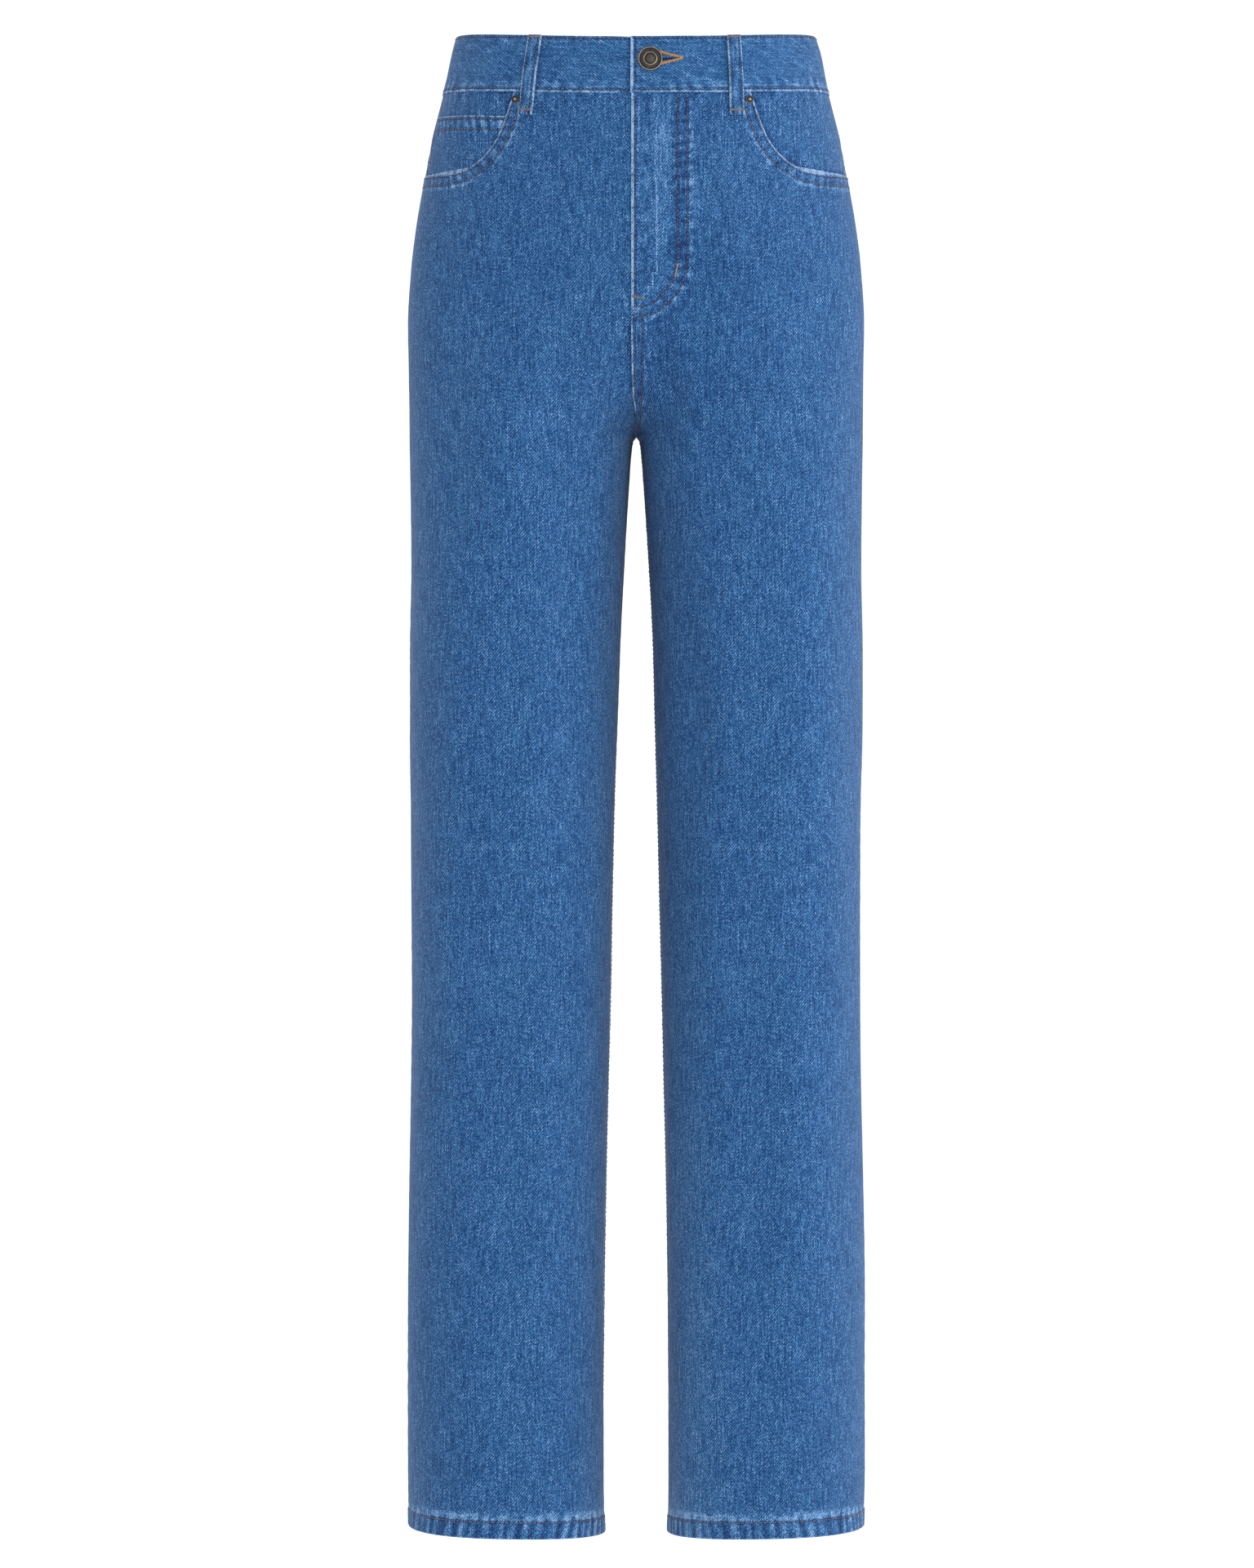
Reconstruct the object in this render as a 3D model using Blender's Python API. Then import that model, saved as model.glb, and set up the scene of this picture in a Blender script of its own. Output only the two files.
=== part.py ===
"""Wide leg jeans, filled out as if worn, hollow, with an open waist and open hems.

Metres, +Z up, the front faces -Y, the wearer's left lies toward +X.
The origin is the centre of the waistband ring, half way up the band at the sides.

Two numbers place a point on the cloth of one half of the garment:
    around  0 at the centre front, 0.5 at the side, 1 at the centre back;
            below the crotch 0 and 1 are both the inseam
    drop    metres below the top edge of the waistband at the side
"""

import math

import bmesh
import bpy
import numpy as np
from mathutils import Matrix, Vector

# Driving dimensions, in metres
BAND_HEIGHT = 0.0400
BAND_THICKNESS = 0.0024
CROTCH_DROP = 0.2790
HEM_DROP = 1.0392
FRONT_DIP = 0.0100
BACK_RISE = 0.0060
DIP_FADE = 0.2000
HEM_SLANT = 0.0046
DENIM = 0.0012
SEAM_GAP = 0.0003
LAYER_GAP = 0.0006
WAIST_TOP = BAND_HEIGHT / 2.0

LEFT = 1.0
RIGHT = -1.0

# The body above the crotch: half its width, its reach before and behind the side line,
# and the power of its oval section (2 is an ellipse).
BODY_COLUMNS = ("drop", "outer", "front", "back", "square")
BODY = np.array((
    (0.0000, 0.1252, 0.0960, 0.0960, 2.30),
    (0.0120, 0.1286, 0.0975, 0.0985, 2.30),
    (0.0360, 0.1337, 0.1010, 0.1040, 2.35),
    (0.0750, 0.1434, 0.1055, 0.1120, 2.40),
    (0.1030, 0.1486, 0.1075, 0.1185, 2.45),
    (0.1330, 0.1537, 0.1090, 0.1245, 2.50),
    (0.1610, 0.1571, 0.1098, 0.1290, 2.50),
    (0.2010, 0.1594, 0.1100, 0.1325, 2.50),
    (0.2300, 0.1589, 0.1095, 0.1330, 2.45),
    (0.2790, 0.1583, 0.1080, 0.1300, 2.40),
))
# The legs: distances of a leg's two edges from the centre line, and the same reaches.
# The first rows lie inside the body, which turns into them.
LEG_COLUMNS = ("drop", "outer", "inner", "front", "back", "square")
LEG = np.array((
    (0.0000, 0.1252, 0.0000, 0.0900, 0.0900, 2.30),
    (0.1330, 0.1537, 0.0000, 0.0990, 0.1140, 2.30),
    (0.2010, 0.1594, 0.0000, 0.1008, 0.1210, 2.30),
    (0.2300, 0.1589, 0.0000, 0.1006, 0.1218, 2.30),
    (0.2790, 0.1583, 0.0000, 0.0996, 0.1195, 2.30),
    (0.2810, 0.1583, 0.0017, 0.0995, 0.1193, 2.30),
    (0.2869, 0.1582, 0.0029, 0.0994, 0.1188, 2.30),
    (0.3154, 0.1577, 0.0051, 0.0988, 0.1162, 2.30),
    (0.3726, 0.1572, 0.0086, 0.0972, 0.1116, 2.30),
    (0.4297, 0.1582, 0.0114, 0.0955, 0.1074, 2.25),
    (0.4869, 0.1582, 0.0131, 0.0935, 0.1035, 2.25),
    (0.5440, 0.1571, 0.0149, 0.0914, 0.0999, 2.20),
    (0.6583, 0.1567, 0.0177, 0.0877, 0.0936, 2.20),
    (0.7726, 0.1583, 0.0206, 0.0849, 0.0884, 2.20),
    (0.8869, 0.1599, 0.0226, 0.0830, 0.0850, 2.20),
    (1.0011, 0.1595, 0.0229, 0.0820, 0.0820, 2.20),
    (1.0392, 0.1588, 0.0222, 0.0820, 0.0820, 2.20),
))

# The centre seams leave the belly and the seat at these drops and curve under to meet
# at the crotch. A higher power keeps a seam upright for longer.
FRONT_RISE_BEND = 0.1600
FRONT_RISE_POWER = 2.6
BACK_RISE_BEND = 0.1300
BACK_RISE_POWER = 2.2

# The largest soft folds: a trough has a negative height. "face" is -1 on the front and
# 1 on the back, and the fold runs from x_top at its top to x_bottom at its bottom.
FOLD_COLUMNS = ("side", "face", "x_top", "x_bottom", "top", "bottom", "width", "height")
FOLDS = np.array((
    (RIGHT, -1, 0.132, 0.122, 0.190, 0.420, 0.020, -0.0030),
    (RIGHT, -1, 0.051, 0.043, 0.190, 0.460, 0.016, -0.0018),
    (RIGHT, -1, 0.100, 0.108, 0.520, 0.980, 0.018, -0.0020),
    (RIGHT, -1, 0.058, 0.050, 0.620, 1.020, 0.014, 0.0016),
    (LEFT, -1, 0.036, 0.050, 0.320, 0.620, 0.014, -0.0022),
    (LEFT, -1, 0.062, 0.078, 0.450, 0.960, 0.016, -0.0022),
    (LEFT, -1, 0.128, 0.122, 0.200, 0.700, 0.016, 0.0018),
    (LEFT, -1, 0.112, 0.120, 0.480, 1.000, 0.015, 0.0016),
    (RIGHT, 1, 0.110, 0.070, 0.250, 0.420, 0.020, -0.0035),
    (LEFT, 1, 0.104, 0.066, 0.250, 0.440, 0.020, -0.0035),
    (RIGHT, 1, 0.060, 0.076, 0.480, 0.900, 0.020, -0.0028),
    (LEFT, 1, 0.070, 0.058, 0.460, 0.940, 0.020, -0.0028),
    (RIGHT, 1, 0.116, 0.108, 0.620, 1.010, 0.018, 0.0020),
    (LEFT, 1, 0.112, 0.120, 0.560, 0.990, 0.018, 0.0020),
))

OUTSEAM = 0.505

# Front pocket mouth, drafted from the corner of the side seam and the waistband:
# how far it lies from the side seam along the cloth, and how far below the band.
MOUTH_COLUMNS = ("from_side", "below_band")
MOUTH = np.array((
    (0.1105, 0.0000),
    (0.1105, 0.0185),
    (0.1095, 0.0310),
    (0.1055, 0.0420),
    (0.0970, 0.0515),
    (0.0855, 0.0573),
    (0.0680, 0.0592),
    (0.0300, 0.0583),
    (0.0000, 0.0570),
))
MOUTH_WIDTH = {LEFT: 1.027, RIGHT: 0.973}
MOUTH_ROWS = 11
MOUTH_LEAD = 0.0120
FACING_MARGIN = 0.0120

# Yoke seam, below the waistband
YOKE_AT_SIDE = 0.0320
YOKE_AT_BACK = 0.0620

HEM_HEIGHT = 0.0120
HEM_ROLL = 0.0006
HEM_THICKNESS = 0.0026

# Fly: the wearer's left front laps over the right one.
LAP = 0.0035
LAP_END = 0.2350
LAP_GONE = 0.2600
LAP_FLANK = 0.0160
FLY_LENGTH = 0.1450


def column(table, names, name):
    """One named column of a table."""
    return table[:, names.index(name)]


def smooth_step(low, high, value):
    """0 below low, 1 above high, and a soft S between them."""
    share = np.clip((value - low) / (high - low), 0.0, 1.0)
    return share * share * (3.0 - 2.0 * share)


def smooth_curve(knots, heights, value):
    """A curve through the knots with no overshoot between level neighbours."""
    steps = np.diff(knots)
    slopes = np.diff(heights) / steps
    tangents = np.empty_like(heights)
    tangents[0] = slopes[0]
    tangents[-1] = slopes[-1]
    before, after = slopes[:-1], slopes[1:]
    same_way = before * after > 0.0
    total = np.where(same_way, before + after, 1.0)
    tangents[1:-1] = np.where(same_way, 2.0 * before * after / total, 0.0)
    value = np.clip(value, knots[0], knots[-1])
    at = np.clip(np.searchsorted(knots, value, side="right") - 1, 0, len(steps) - 1)
    span = steps[at]
    share = (value - knots[at]) / span
    rest = 1.0 - share
    return (
        heights[at] * rest * rest * (1.0 + 2.0 * share)
        + heights[at + 1] * share * share * (3.0 - 2.0 * share)
        + tangents[at] * span * share * rest * rest
        - tangents[at + 1] * span * share * share * rest
    )


def table_reader(table, names):
    """Reads any column of a table of sections at any drop."""
    knots = column(table, names, "drop")
    return lambda name, drop: smooth_curve(knots, column(table, names, name), drop)


body_value = table_reader(BODY, BODY_COLUMNS)
leg_value = table_reader(LEG, LEG_COLUMNS)


def oval_reach(turn, reach, front, back, square):
    """Distance from an oval's centre to its edge, in the direction of an angle."""
    depth = np.where(np.sin(turn) < 0.0, front, back)
    size = (np.abs(np.cos(turn)) / reach) ** square
    size = size + (np.abs(np.sin(turn)) / depth) ** square
    return size ** (-1.0 / square)


def body_reach(turn, centre, outer, front, back, square):
    """The same for the body's oval, measured from the middle of a leg."""
    near = np.zeros_like(turn)
    far = np.full_like(turn, 2.5) * outer
    for _ in range(24):
        middle = (near + far) / 2.0
        x = centre + middle * np.cos(turn)
        y = middle * np.sin(turn)
        depth = np.where(y < 0.0, front, back)
        inside = (np.abs(x) / outer) ** square + (np.abs(y) / depth) ** square < 1.0
        near = np.where(inside, middle, near)
        far = np.where(inside, far, middle)
    return (near + far) / 2.0


def rise_left(drop, bend, power):
    """Share of its reach that a centre seam still has: 1 above its bend, 0 at the crotch."""
    share = np.clip((drop - bend) / (CROTCH_DROP - bend), 0.0, 1.0)
    return np.sqrt(1.0 - share ** power)


def form(around, drop):
    """Outer face of the wearer's left half. Past a centre seam it is mirrored, and
    past the inseam it goes on round the leg."""
    around, drop = np.broadcast_arrays(np.asarray(around, float), np.asarray(drop, float))
    in_leg = drop >= CROTCH_DROP
    folded = np.where(around < 0.0, -around, np.where(around > 1.0, 2.0 - around, around))
    mirror = np.where((folded != around) & ~in_leg, -1.0, 1.0)
    share = np.where(in_leg, np.mod(around, 1.0), folded)
    body = [body_value(name, drop) for name in ("outer", "front", "back", "square")]
    leg_outer, leg_inner = leg_value("outer", drop), leg_value("inner", drop)
    centre = (leg_outer + leg_inner) / 2.0
    leg = [(leg_outer - leg_inner) / 2.0]
    leg += [leg_value(name, drop) for name in ("front", "back", "square")]
    # Where each centre seam stands at this drop, seen from the middle of the leg
    front_y = body[1] * rise_left(drop, FRONT_RISE_BEND, FRONT_RISE_POWER)
    back_y = body[2] * rise_left(drop, BACK_RISE_BEND, BACK_RISE_POWER)
    front_turn = np.arctan2(front_y, centre) - math.pi
    back_turn = math.pi - np.arctan2(back_y, centre)
    turn = np.where(share < 0.5, front_turn * (1.0 - 2.0 * share), back_turn * (2.0 * share - 1.0))
    # The body turns into the legs just as far as brings its edge to those seams
    parts = []
    for seam_turn, seam_y in ((front_turn, front_y), (back_turn, back_y)):
        wide = body_reach(seam_turn, centre, *body)
        slim = oval_reach(seam_turn, *leg)
        parts.append((wide - np.hypot(centre, seam_y)) / np.maximum(wide - slim, 1e-6))
    exact = parts[0] + (parts[1] - parts[0]) * smooth_step(-1.2, 1.2, turn)
    exact = np.clip(exact, 0.0, 1.0)
    end_turn = np.where(turn < 0.0, front_turn, back_turn)
    nearness = smooth_step(0.45, 1.0, turn / end_turn)
    mix = smooth_step(0.0, 1.0, exact) * (1.0 - nearness) + exact * nearness
    mix = np.where(in_leg, 1.0, mix)
    reach = (1.0 - mix) * body_reach(turn, centre, *body) + mix * oval_reach(turn, *leg)
    x = np.maximum(centre + reach * np.cos(turn), 0.0)
    y = reach * np.sin(turn)
    dip = FRONT_DIP * (1.0 - smooth_step(0.0, 0.5, share))
    dip = dip - BACK_RISE * smooth_step(0.5, 1.0, share)
    dip = dip * (1.0 - smooth_step(0.0, DIP_FADE, drop))
    slant = HEM_SLANT * (0.5 + 0.5 * np.cos(2.0 * math.pi * share)) ** 3
    slant = slant * smooth_step(0.75 * HEM_DROP, HEM_DROP, drop)
    z = WAIST_TOP - drop - dip - slant
    return np.stack((mirror * (x + SEAM_GAP / 2.0), y, z), axis=-1)


def normal(around, drop):
    """Outward direction of the form."""
    around, drop = np.broadcast_arrays(np.asarray(around, float), np.asarray(drop, float))
    step_around, step_drop = 0.002, 0.0008
    near_crotch = np.abs(drop - CROTCH_DROP) < 2.0 * step_drop
    at = np.where(near_crotch, CROTCH_DROP + 2.0 * step_drop, drop)
    down = form(around, at + step_drop) - form(around, at - step_drop)
    onward = form(around + step_around, at) - form(around - step_around, at)
    across = np.cross(down, onward)
    across = across / np.linalg.norm(across, axis=-1, keepdims=True)
    at_seam = np.minimum(around, 1.0 - around) < 0.004
    corner = np.array((-0.5, 0.0, -0.5)) * math.sqrt(2.0)
    return np.where((near_crotch & at_seam)[..., None], corner, across)


def speed(around, drop):
    """Metres of cloth for one unit of around."""
    step = 0.002
    move = form(around + step, drop) - form(around - step, drop)
    return np.linalg.norm(move, axis=-1) / (2.0 * step)


def around_at(start, distance, drop):
    """The place that lies a distance along the cloth from start, level with it."""
    stops = start + math.copysign(0.55, distance) * np.linspace(0.0, 1.0, 111)
    points = form(stops, drop)
    lengths = np.linalg.norm(np.diff(points, axis=0), axis=1)
    return float(np.interp(abs(distance), np.concatenate(((0.0,), np.cumsum(lengths))), stops))


def around_at_x(x, drop):
    """The place on the front at a distance from the centre line."""
    stops = np.linspace(-0.2, OUTSEAM, 121)
    return float(np.interp(x, form(stops, drop)[:, 0], stops))


def fold_height(side, points):
    """Rise of the soft folds at points of the left half of the form."""
    total = np.zeros(points.shape[:-1])
    drop = WAIST_TOP - points[..., 2]
    for row in FOLDS[column(FOLDS, FOLD_COLUMNS, "side") == side]:
        fold = dict(zip(FOLD_COLUMNS, row))
        share = np.clip((drop - fold["top"]) / (fold["bottom"] - fold["top"]), 0.0, 1.0)
        centre = fold["x_top"] + (fold["x_bottom"] - fold["x_top"]) * share
        fade = np.sin(math.pi * share) ** 2
        flank = smooth_step(0.010, 0.040, fold["face"] * points[..., 1])
        swell = np.exp(-((points[..., 0] - centre) / fold["width"]) ** 2)
        total += fold["height"] * fade * flank * swell
    return total


def wall(side, around, drop, lift, thickness):
    """Outer and inner points of a wall that stands "lift" proud of the form."""
    base = form(around, drop)
    out = normal(around, drop)
    rise = fold_height(side, base) + lift
    outer = base + out * np.broadcast_to(rise, drop.shape)[..., None]
    inner = outer - out * np.broadcast_to(thickness, drop.shape)[..., None]
    turn = np.array((side, 1.0, 1.0))
    return outer * turn, inner * turn


# Building the solids


def add_object(name, bm, material, sharp_degrees=40.0):
    """A closed mesh becomes a named object with its own material."""
    bmesh.ops.recalc_face_normals(bm, faces=bm.faces)
    mesh = bpy.data.meshes.new(name)
    bm.to_mesh(mesh)
    bm.free()
    mesh.shade_smooth()
    mesh.set_sharp_from_angle(angle=math.radians(sharp_degrees))
    mesh.materials.append(material)
    piece = bpy.data.objects.new(name, mesh)
    bpy.context.scene.collection.objects.link(piece)
    return piece


def add_sheet(name, outer, inner, material):
    """The solid between two grids of points, closed round its rim."""
    rows, columns = outer.shape[:2]
    bm = bmesh.new()
    near = [[bm.verts.new(point) for point in row] for row in outer]
    far = [[bm.verts.new(point) for point in row] for row in inner]
    for r in range(rows - 1):
        for c in range(columns - 1):
            cell = ((r, c), (r + 1, c), (r + 1, c + 1), (r, c + 1))
            bm.faces.new([near[i][j] for i, j in cell])
            bm.faces.new([far[i][j] for i, j in reversed(cell)])
    rim = [(0, c) for c in range(columns)]
    rim += [(r, columns - 1) for r in range(1, rows)]
    rim += [(rows - 1, c) for c in range(columns - 2, -1, -1)]
    rim += [(r, 0) for r in range(rows - 2, 0, -1)]
    for (i, j), (k, m) in zip(rim, rim[1:] + rim[:1]):
        bm.faces.new((near[i][j], near[k][m], far[k][m], far[i][j]))
    return add_object(name, bm, material)


def add_loft(name, rings, material):
    """The solid through a row of rings of points, with flat ends."""
    bm = bmesh.new()
    loops = [[bm.verts.new(point) for point in ring] for ring in rings]
    count = len(rings[0])
    for a, b in zip(loops, loops[1:]):
        for j in range(count):
            k = (j + 1) % count
            bm.faces.new((a[j], b[j], b[k], a[k]))
    bm.faces.new(loops[0])
    bm.faces.new(loops[-1][::-1])
    return add_object(name, bm, material)


def add_turned(name, profile, steps, place, material):
    """A solid of revolution: the profile holds radius and height from axis to axis."""
    bm = bmesh.new()
    points = [bm.verts.new((radius, 0.0, height)) for radius, height in profile]
    edges = [bm.edges.new(pair) for pair in zip(points, points[1:])]
    bmesh.ops.spin(
        bm, geom=points + edges, cent=(0.0, 0.0, 0.0), axis=(0.0, 0.0, 1.0),
        angle=2.0 * math.pi, steps=steps, use_merge=True,
    )
    bmesh.ops.remove_doubles(bm, verts=bm.verts, dist=1e-6)
    bmesh.ops.dissolve_degenerate(bm, dist=1e-6, edges=bm.edges)
    bmesh.ops.transform(bm, matrix=place, verts=bm.verts)
    return add_object(name, bm, material)


def place_on(side, around, drop, lift):
    """Frame that stands on the form: Z points out of the cloth, X lies level in it."""
    base = form(around, drop) * (side, 1.0, 1.0)
    out = Vector(normal(around, drop) * (side, 1.0, 1.0)).normalized()
    level = Vector((0.0, 0.0, 1.0)).cross(out).normalized()
    up = out.cross(level)
    turn = Matrix((level, up, out)).transposed().to_4x4()
    return Matrix.Translation(Vector(base) + out * lift) @ turn


def make_material(name, colour, roughness, metallic=0.0):
    """A Principled material."""
    material = bpy.data.materials.new(name)
    material.use_nodes = True
    shader = material.node_tree.nodes["Principled BSDF"]
    shader.inputs["Base Color"].default_value = (*colour, 1.0)
    shader.inputs["Roughness"].default_value = roughness
    shader.inputs["Metallic"].default_value = metallic
    material.diffuse_color = (*colour, 1.0)
    return material


# Pocket mouth


def mouth_curve(side, count):
    """The mouth from the waistband to the side seam, as rows of around and drop."""
    reach = MOUTH_WIDTH[side] * column(MOUTH, MOUTH_COLUMNS, "from_side")
    depth = column(MOUTH, MOUTH_COLUMNS, "below_band")
    legs = np.hypot(np.diff(reach), np.diff(depth))
    along = np.concatenate(((0.0,), np.cumsum(legs)))
    stops = np.linspace(0.0, along[-1], count)
    reach = smooth_curve(along, reach, stops)
    drop = BAND_HEIGHT + smooth_curve(along, depth, stops)
    around = np.array([around_at(OUTSEAM, -r, d) for r, d in zip(reach, drop)])
    return around, drop


def mouth_inset(side, around, drop):
    """Distance inside the pocket mouth; negative under the front panel."""
    mouth_around, mouth_drop = mouth_curve(side, 60)
    curve = form(mouth_around, mouth_drop)
    points = form(around, drop)
    gaps = np.linalg.norm(points[..., None, :] - curve, axis=-1).min(axis=-1)
    edge = np.interp(around, mouth_around, mouth_drop)
    inside = (around > mouth_around[0]) & (drop < edge)
    return np.where(inside, gaps, -gaps)


# Columns and rows of the panels

PANEL_COLUMNS = 17
LAP_COLUMN = 0.0045
# Rows below the pocket mouth, closer together where the seams curve under the crotch
ROW_DROPS = np.array((
    0.1150, 0.1350, 0.1550, 0.1750, 0.1930, 0.2100, 0.2250, 0.2390, 0.2520, 0.2640,
    0.2740, 0.2790,
    0.2830, 0.2900, 0.3154, 0.3440, 0.3726, 0.4297, 0.4869, 0.5440, 0.6010, 0.6583,
    0.7150, 0.7726, 0.8300, 0.8869, 0.9440, 0.9900, 1.0262,
))
HEM_ROWS = np.array((HEM_DROP - HEM_HEIGHT, HEM_DROP - HEM_HEIGHT + 0.0010, HEM_DROP))
LEAD_END = 0.1750


def seam_trim(around, drop):
    """Half a seam gap, as a share of the way round."""
    return SEAM_GAP / 2.0 / speed(around, drop)


def lap_reach(side, drop):
    """How far the wearer's left front passes the centre line."""
    if side == RIGHT:
        return np.zeros_like(drop)
    return LAP * (1.0 - smooth_step(LAP_END, LAP_GONE, drop))


def lap_lift(side, around, drop):
    """Rise of the left front where it lies on the right one."""
    if side == RIGHT:
        return np.zeros_like(drop)
    past = np.abs(around) * speed(0.004, np.minimum(drop, CROTCH_DROP - 0.002))
    near = 1.0 - smooth_step(LAP_COLUMN - LAP, LAP_FLANK, past)
    return (DENIM + LAYER_GAP) * near * (1.0 - smooth_step(LAP_GONE, CROTCH_DROP, drop))


def hem_share(drop):
    """1 in the turned-up hem and 0 above it."""
    top = HEM_ROWS[0]
    return smooth_step(top, top + 0.0008, drop)


def panel_lift(side, around, drop):
    """How far a leg panel's face stands off the form."""
    return lap_lift(side, around, drop) + HEM_ROLL * hem_share(drop)


def panel_thickness(drop):
    """One layer of cloth, and the folded layers of the hem."""
    return DENIM + (HEM_THICKNESS - DENIM) * hem_share(drop)


def inner_edge(side, drop):
    """Edge of the front at the centre front and down the inseam."""
    above = -lap_reach(side, drop) / speed(0.004, np.minimum(drop, CROTCH_DROP - 0.002))
    return np.where(drop < CROTCH_DROP, above, seam_trim(0.0, drop))


def front_grid(side):
    """Rows of the front, bent at the top so that they end on the pocket mouth."""
    mouth_around, mouth_drop = mouth_curve(side, MOUTH_ROWS)
    mouth_drop[0] += SEAM_GAP / 2.0
    rows = np.concatenate((ROW_DROPS, HEM_ROWS))
    outer_drop = np.concatenate((mouth_drop, rows))
    outer_around = np.concatenate((mouth_around, np.full(len(rows), OUTSEAM)))
    outer_around -= seam_trim(outer_around, outer_drop)
    top = mouth_drop[0]
    steps = np.linspace(0.0, 1.0, MOUTH_ROWS)
    lead_drop = top + (mouth_drop[-1] + MOUTH_LEAD - top) * steps
    fade = 1.0 - smooth_step(mouth_drop[-1], LEAD_END, rows)
    inner_drop = np.concatenate((lead_drop, rows + MOUTH_LEAD * fade))
    inner_around = inner_edge(side, inner_drop)
    first = LAP_COLUMN / speed(0.01, inner_drop)
    spread = np.linspace(0.0, 1.0, PANEL_COLUMNS)
    even = (inner_around + first)[:, None] * (1.0 - spread) + outer_around[:, None] * spread
    around = np.concatenate((inner_around[:, None], even), axis=1)
    shares = (around - inner_around[:, None]) / (outer_around - inner_around)[:, None]
    drop = inner_drop[:, None] + (outer_drop - inner_drop)[:, None] * shares
    return around, drop


def back_edge(drop):
    """Edge of the back at the centre back and down the inseam."""
    return np.where(drop < CROTCH_DROP, 1.0, 1.0 - seam_trim(1.0, drop))


def back_columns(drop):
    """Places of the back's columns in rows that each keep to one drop at the seams."""
    side_edge = OUTSEAM + seam_trim(OUTSEAM, drop)
    spread = np.linspace(0.0, 1.0, PANEL_COLUMNS)
    return side_edge[:, None] * (1.0 - spread) + back_edge(drop)[:, None] * spread


def yoke_seam(around):
    """Drop of the seam between yoke and back."""
    share = np.clip((around - OUTSEAM) / (1.0 - OUTSEAM), 0.0, 1.0)
    return BAND_HEIGHT + YOKE_AT_SIDE + (YOKE_AT_BACK - YOKE_AT_SIDE) * share


def back_grid():
    """Rows of the back: the first ones open out from the slanting yoke seam."""
    start = BAND_HEIGHT + YOKE_AT_BACK
    upper = np.array((start, 0.1150, 0.1350, 0.1550, 0.1750))
    rows = np.concatenate((upper, ROW_DROPS[ROW_DROPS > upper[-1]], HEM_ROWS))
    around = back_columns(rows)
    slope = 1.0 - smooth_step(start, upper[-1], rows)
    rise = yoke_seam(around) - start + SEAM_GAP / 2.0
    drop = rows[:, None] + rise * slope[:, None]
    return around, drop


def yoke_grid():
    """Rows of the yoke, from the waistband to the yoke seam."""
    top = BAND_HEIGHT + SEAM_GAP / 2.0
    shares = np.linspace(0.0, 1.0, 5)
    around = back_columns(np.full(len(shares), BAND_HEIGHT + YOKE_AT_BACK))
    drop = top + (yoke_seam(around) - SEAM_GAP / 2.0 - top) * shares[:, None]
    return around, drop


def add_panel(name, side, around, drop, material):
    """A front, back or yoke."""
    lift = panel_lift(side, around, drop)
    outer, inner = wall(side, around, drop, lift, panel_thickness(drop))
    return add_sheet(name, outer, inner, material)


# Pocket facing and coin pocket

FACING_GAP = 0.0008
FACING_DEPTH = DENIM + FACING_GAP
FACING_LEVEL = (0.0060, 0.0280)
COIN_TOP = 0.0180
COIN_SIDE = 0.0300
COIN_CLEARANCE = 0.0025


def facing_lift(side, around, drop):
    """The facing lies under the front and comes up level with it at the side seam."""
    level = smooth_step(*FACING_LEVEL, mouth_inset(side, around, drop))
    return -FACING_DEPTH * (1.0 - level)


def facing_grid(side, edge_from_side, other_from_side, top, bottom, rows, columns):
    """A patch of the facing between two distances from the side seam."""
    drops = np.linspace(top, bottom, rows)
    around = np.empty((rows, columns))
    for r, drop in enumerate(drops):
        first = around_at(OUTSEAM, -edge_from_side, drop)
        last = around_at(OUTSEAM, -other_from_side, drop)
        around[r] = np.linspace(first, last, columns)
    return around, np.repeat(drops[:, None], columns, axis=1)


def add_facing(name, side, material):
    """The denim that shows in the pocket mouth."""
    reach = MOUTH_WIDTH[side] * MOUTH[0][0] + FACING_MARGIN
    depth = MOUTH[:, 1].max() + FACING_MARGIN
    top = BAND_HEIGHT + SEAM_GAP / 2.0
    around, drop = facing_grid(side, reach, SEAM_GAP / 2.0, top, BAND_HEIGHT + depth, 10, 12)
    outer, inner = wall(side, around, drop, facing_lift(side, around, drop), DENIM)
    return add_sheet(name, outer, inner, material)


def add_coin_pocket(name, side, material):
    """A patch on the facing, cut off by the pocket mouth where the front covers it."""
    top = BAND_HEIGHT + COIN_TOP
    shares = np.linspace(0.0, 1.0, 7)
    mouth_around, mouth_drop = mouth_curve(side, 60)
    spread = np.linspace(0.0, 1.0, 8)
    side_edge = around_at(OUTSEAM, -COIN_SIDE, top)
    mouth_edge = np.interp(top, mouth_drop[:30], mouth_around[:30])
    keep = COIN_CLEARANCE / speed(mouth_edge, top)
    around = (mouth_edge + keep) * (1.0 - spread) + side_edge * spread
    foot = np.interp(around, mouth_around, mouth_drop) - COIN_CLEARANCE
    drop = top + (foot - top) * shares[:, None]
    around = np.repeat(around[None, :], len(shares), axis=0)
    lift = facing_lift(side, around, drop) + LAYER_GAP + DENIM
    outer, inner = wall(side, around, drop, lift, DENIM)
    return add_sheet(name, outer, inner, material)


# Waistband

BAND_LIFT = 0.0005
BAND_TOP_LAP = 0.0039
BAND_UNDERLAP = 0.0300
BAND_PROUD = 0.0016
BAND_CHAMFER = 0.0005


def band_lift(side, around):
    """Outer face of the band: the left end lies on top at the front, the right one under."""
    if around > OUTSEAM:
        return BAND_LIFT
    x = float(form(around, BAND_HEIGHT / 2.0)[0])
    if side == LEFT:
        return BAND_LIFT + (BAND_PROUD - BAND_LIFT) * (1.0 - smooth_step(0.030, 0.055, x))
    return BAND_LIFT - (BAND_PROUD + BAND_LIFT) * (1.0 - smooth_step(0.007, 0.032, x))


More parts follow.
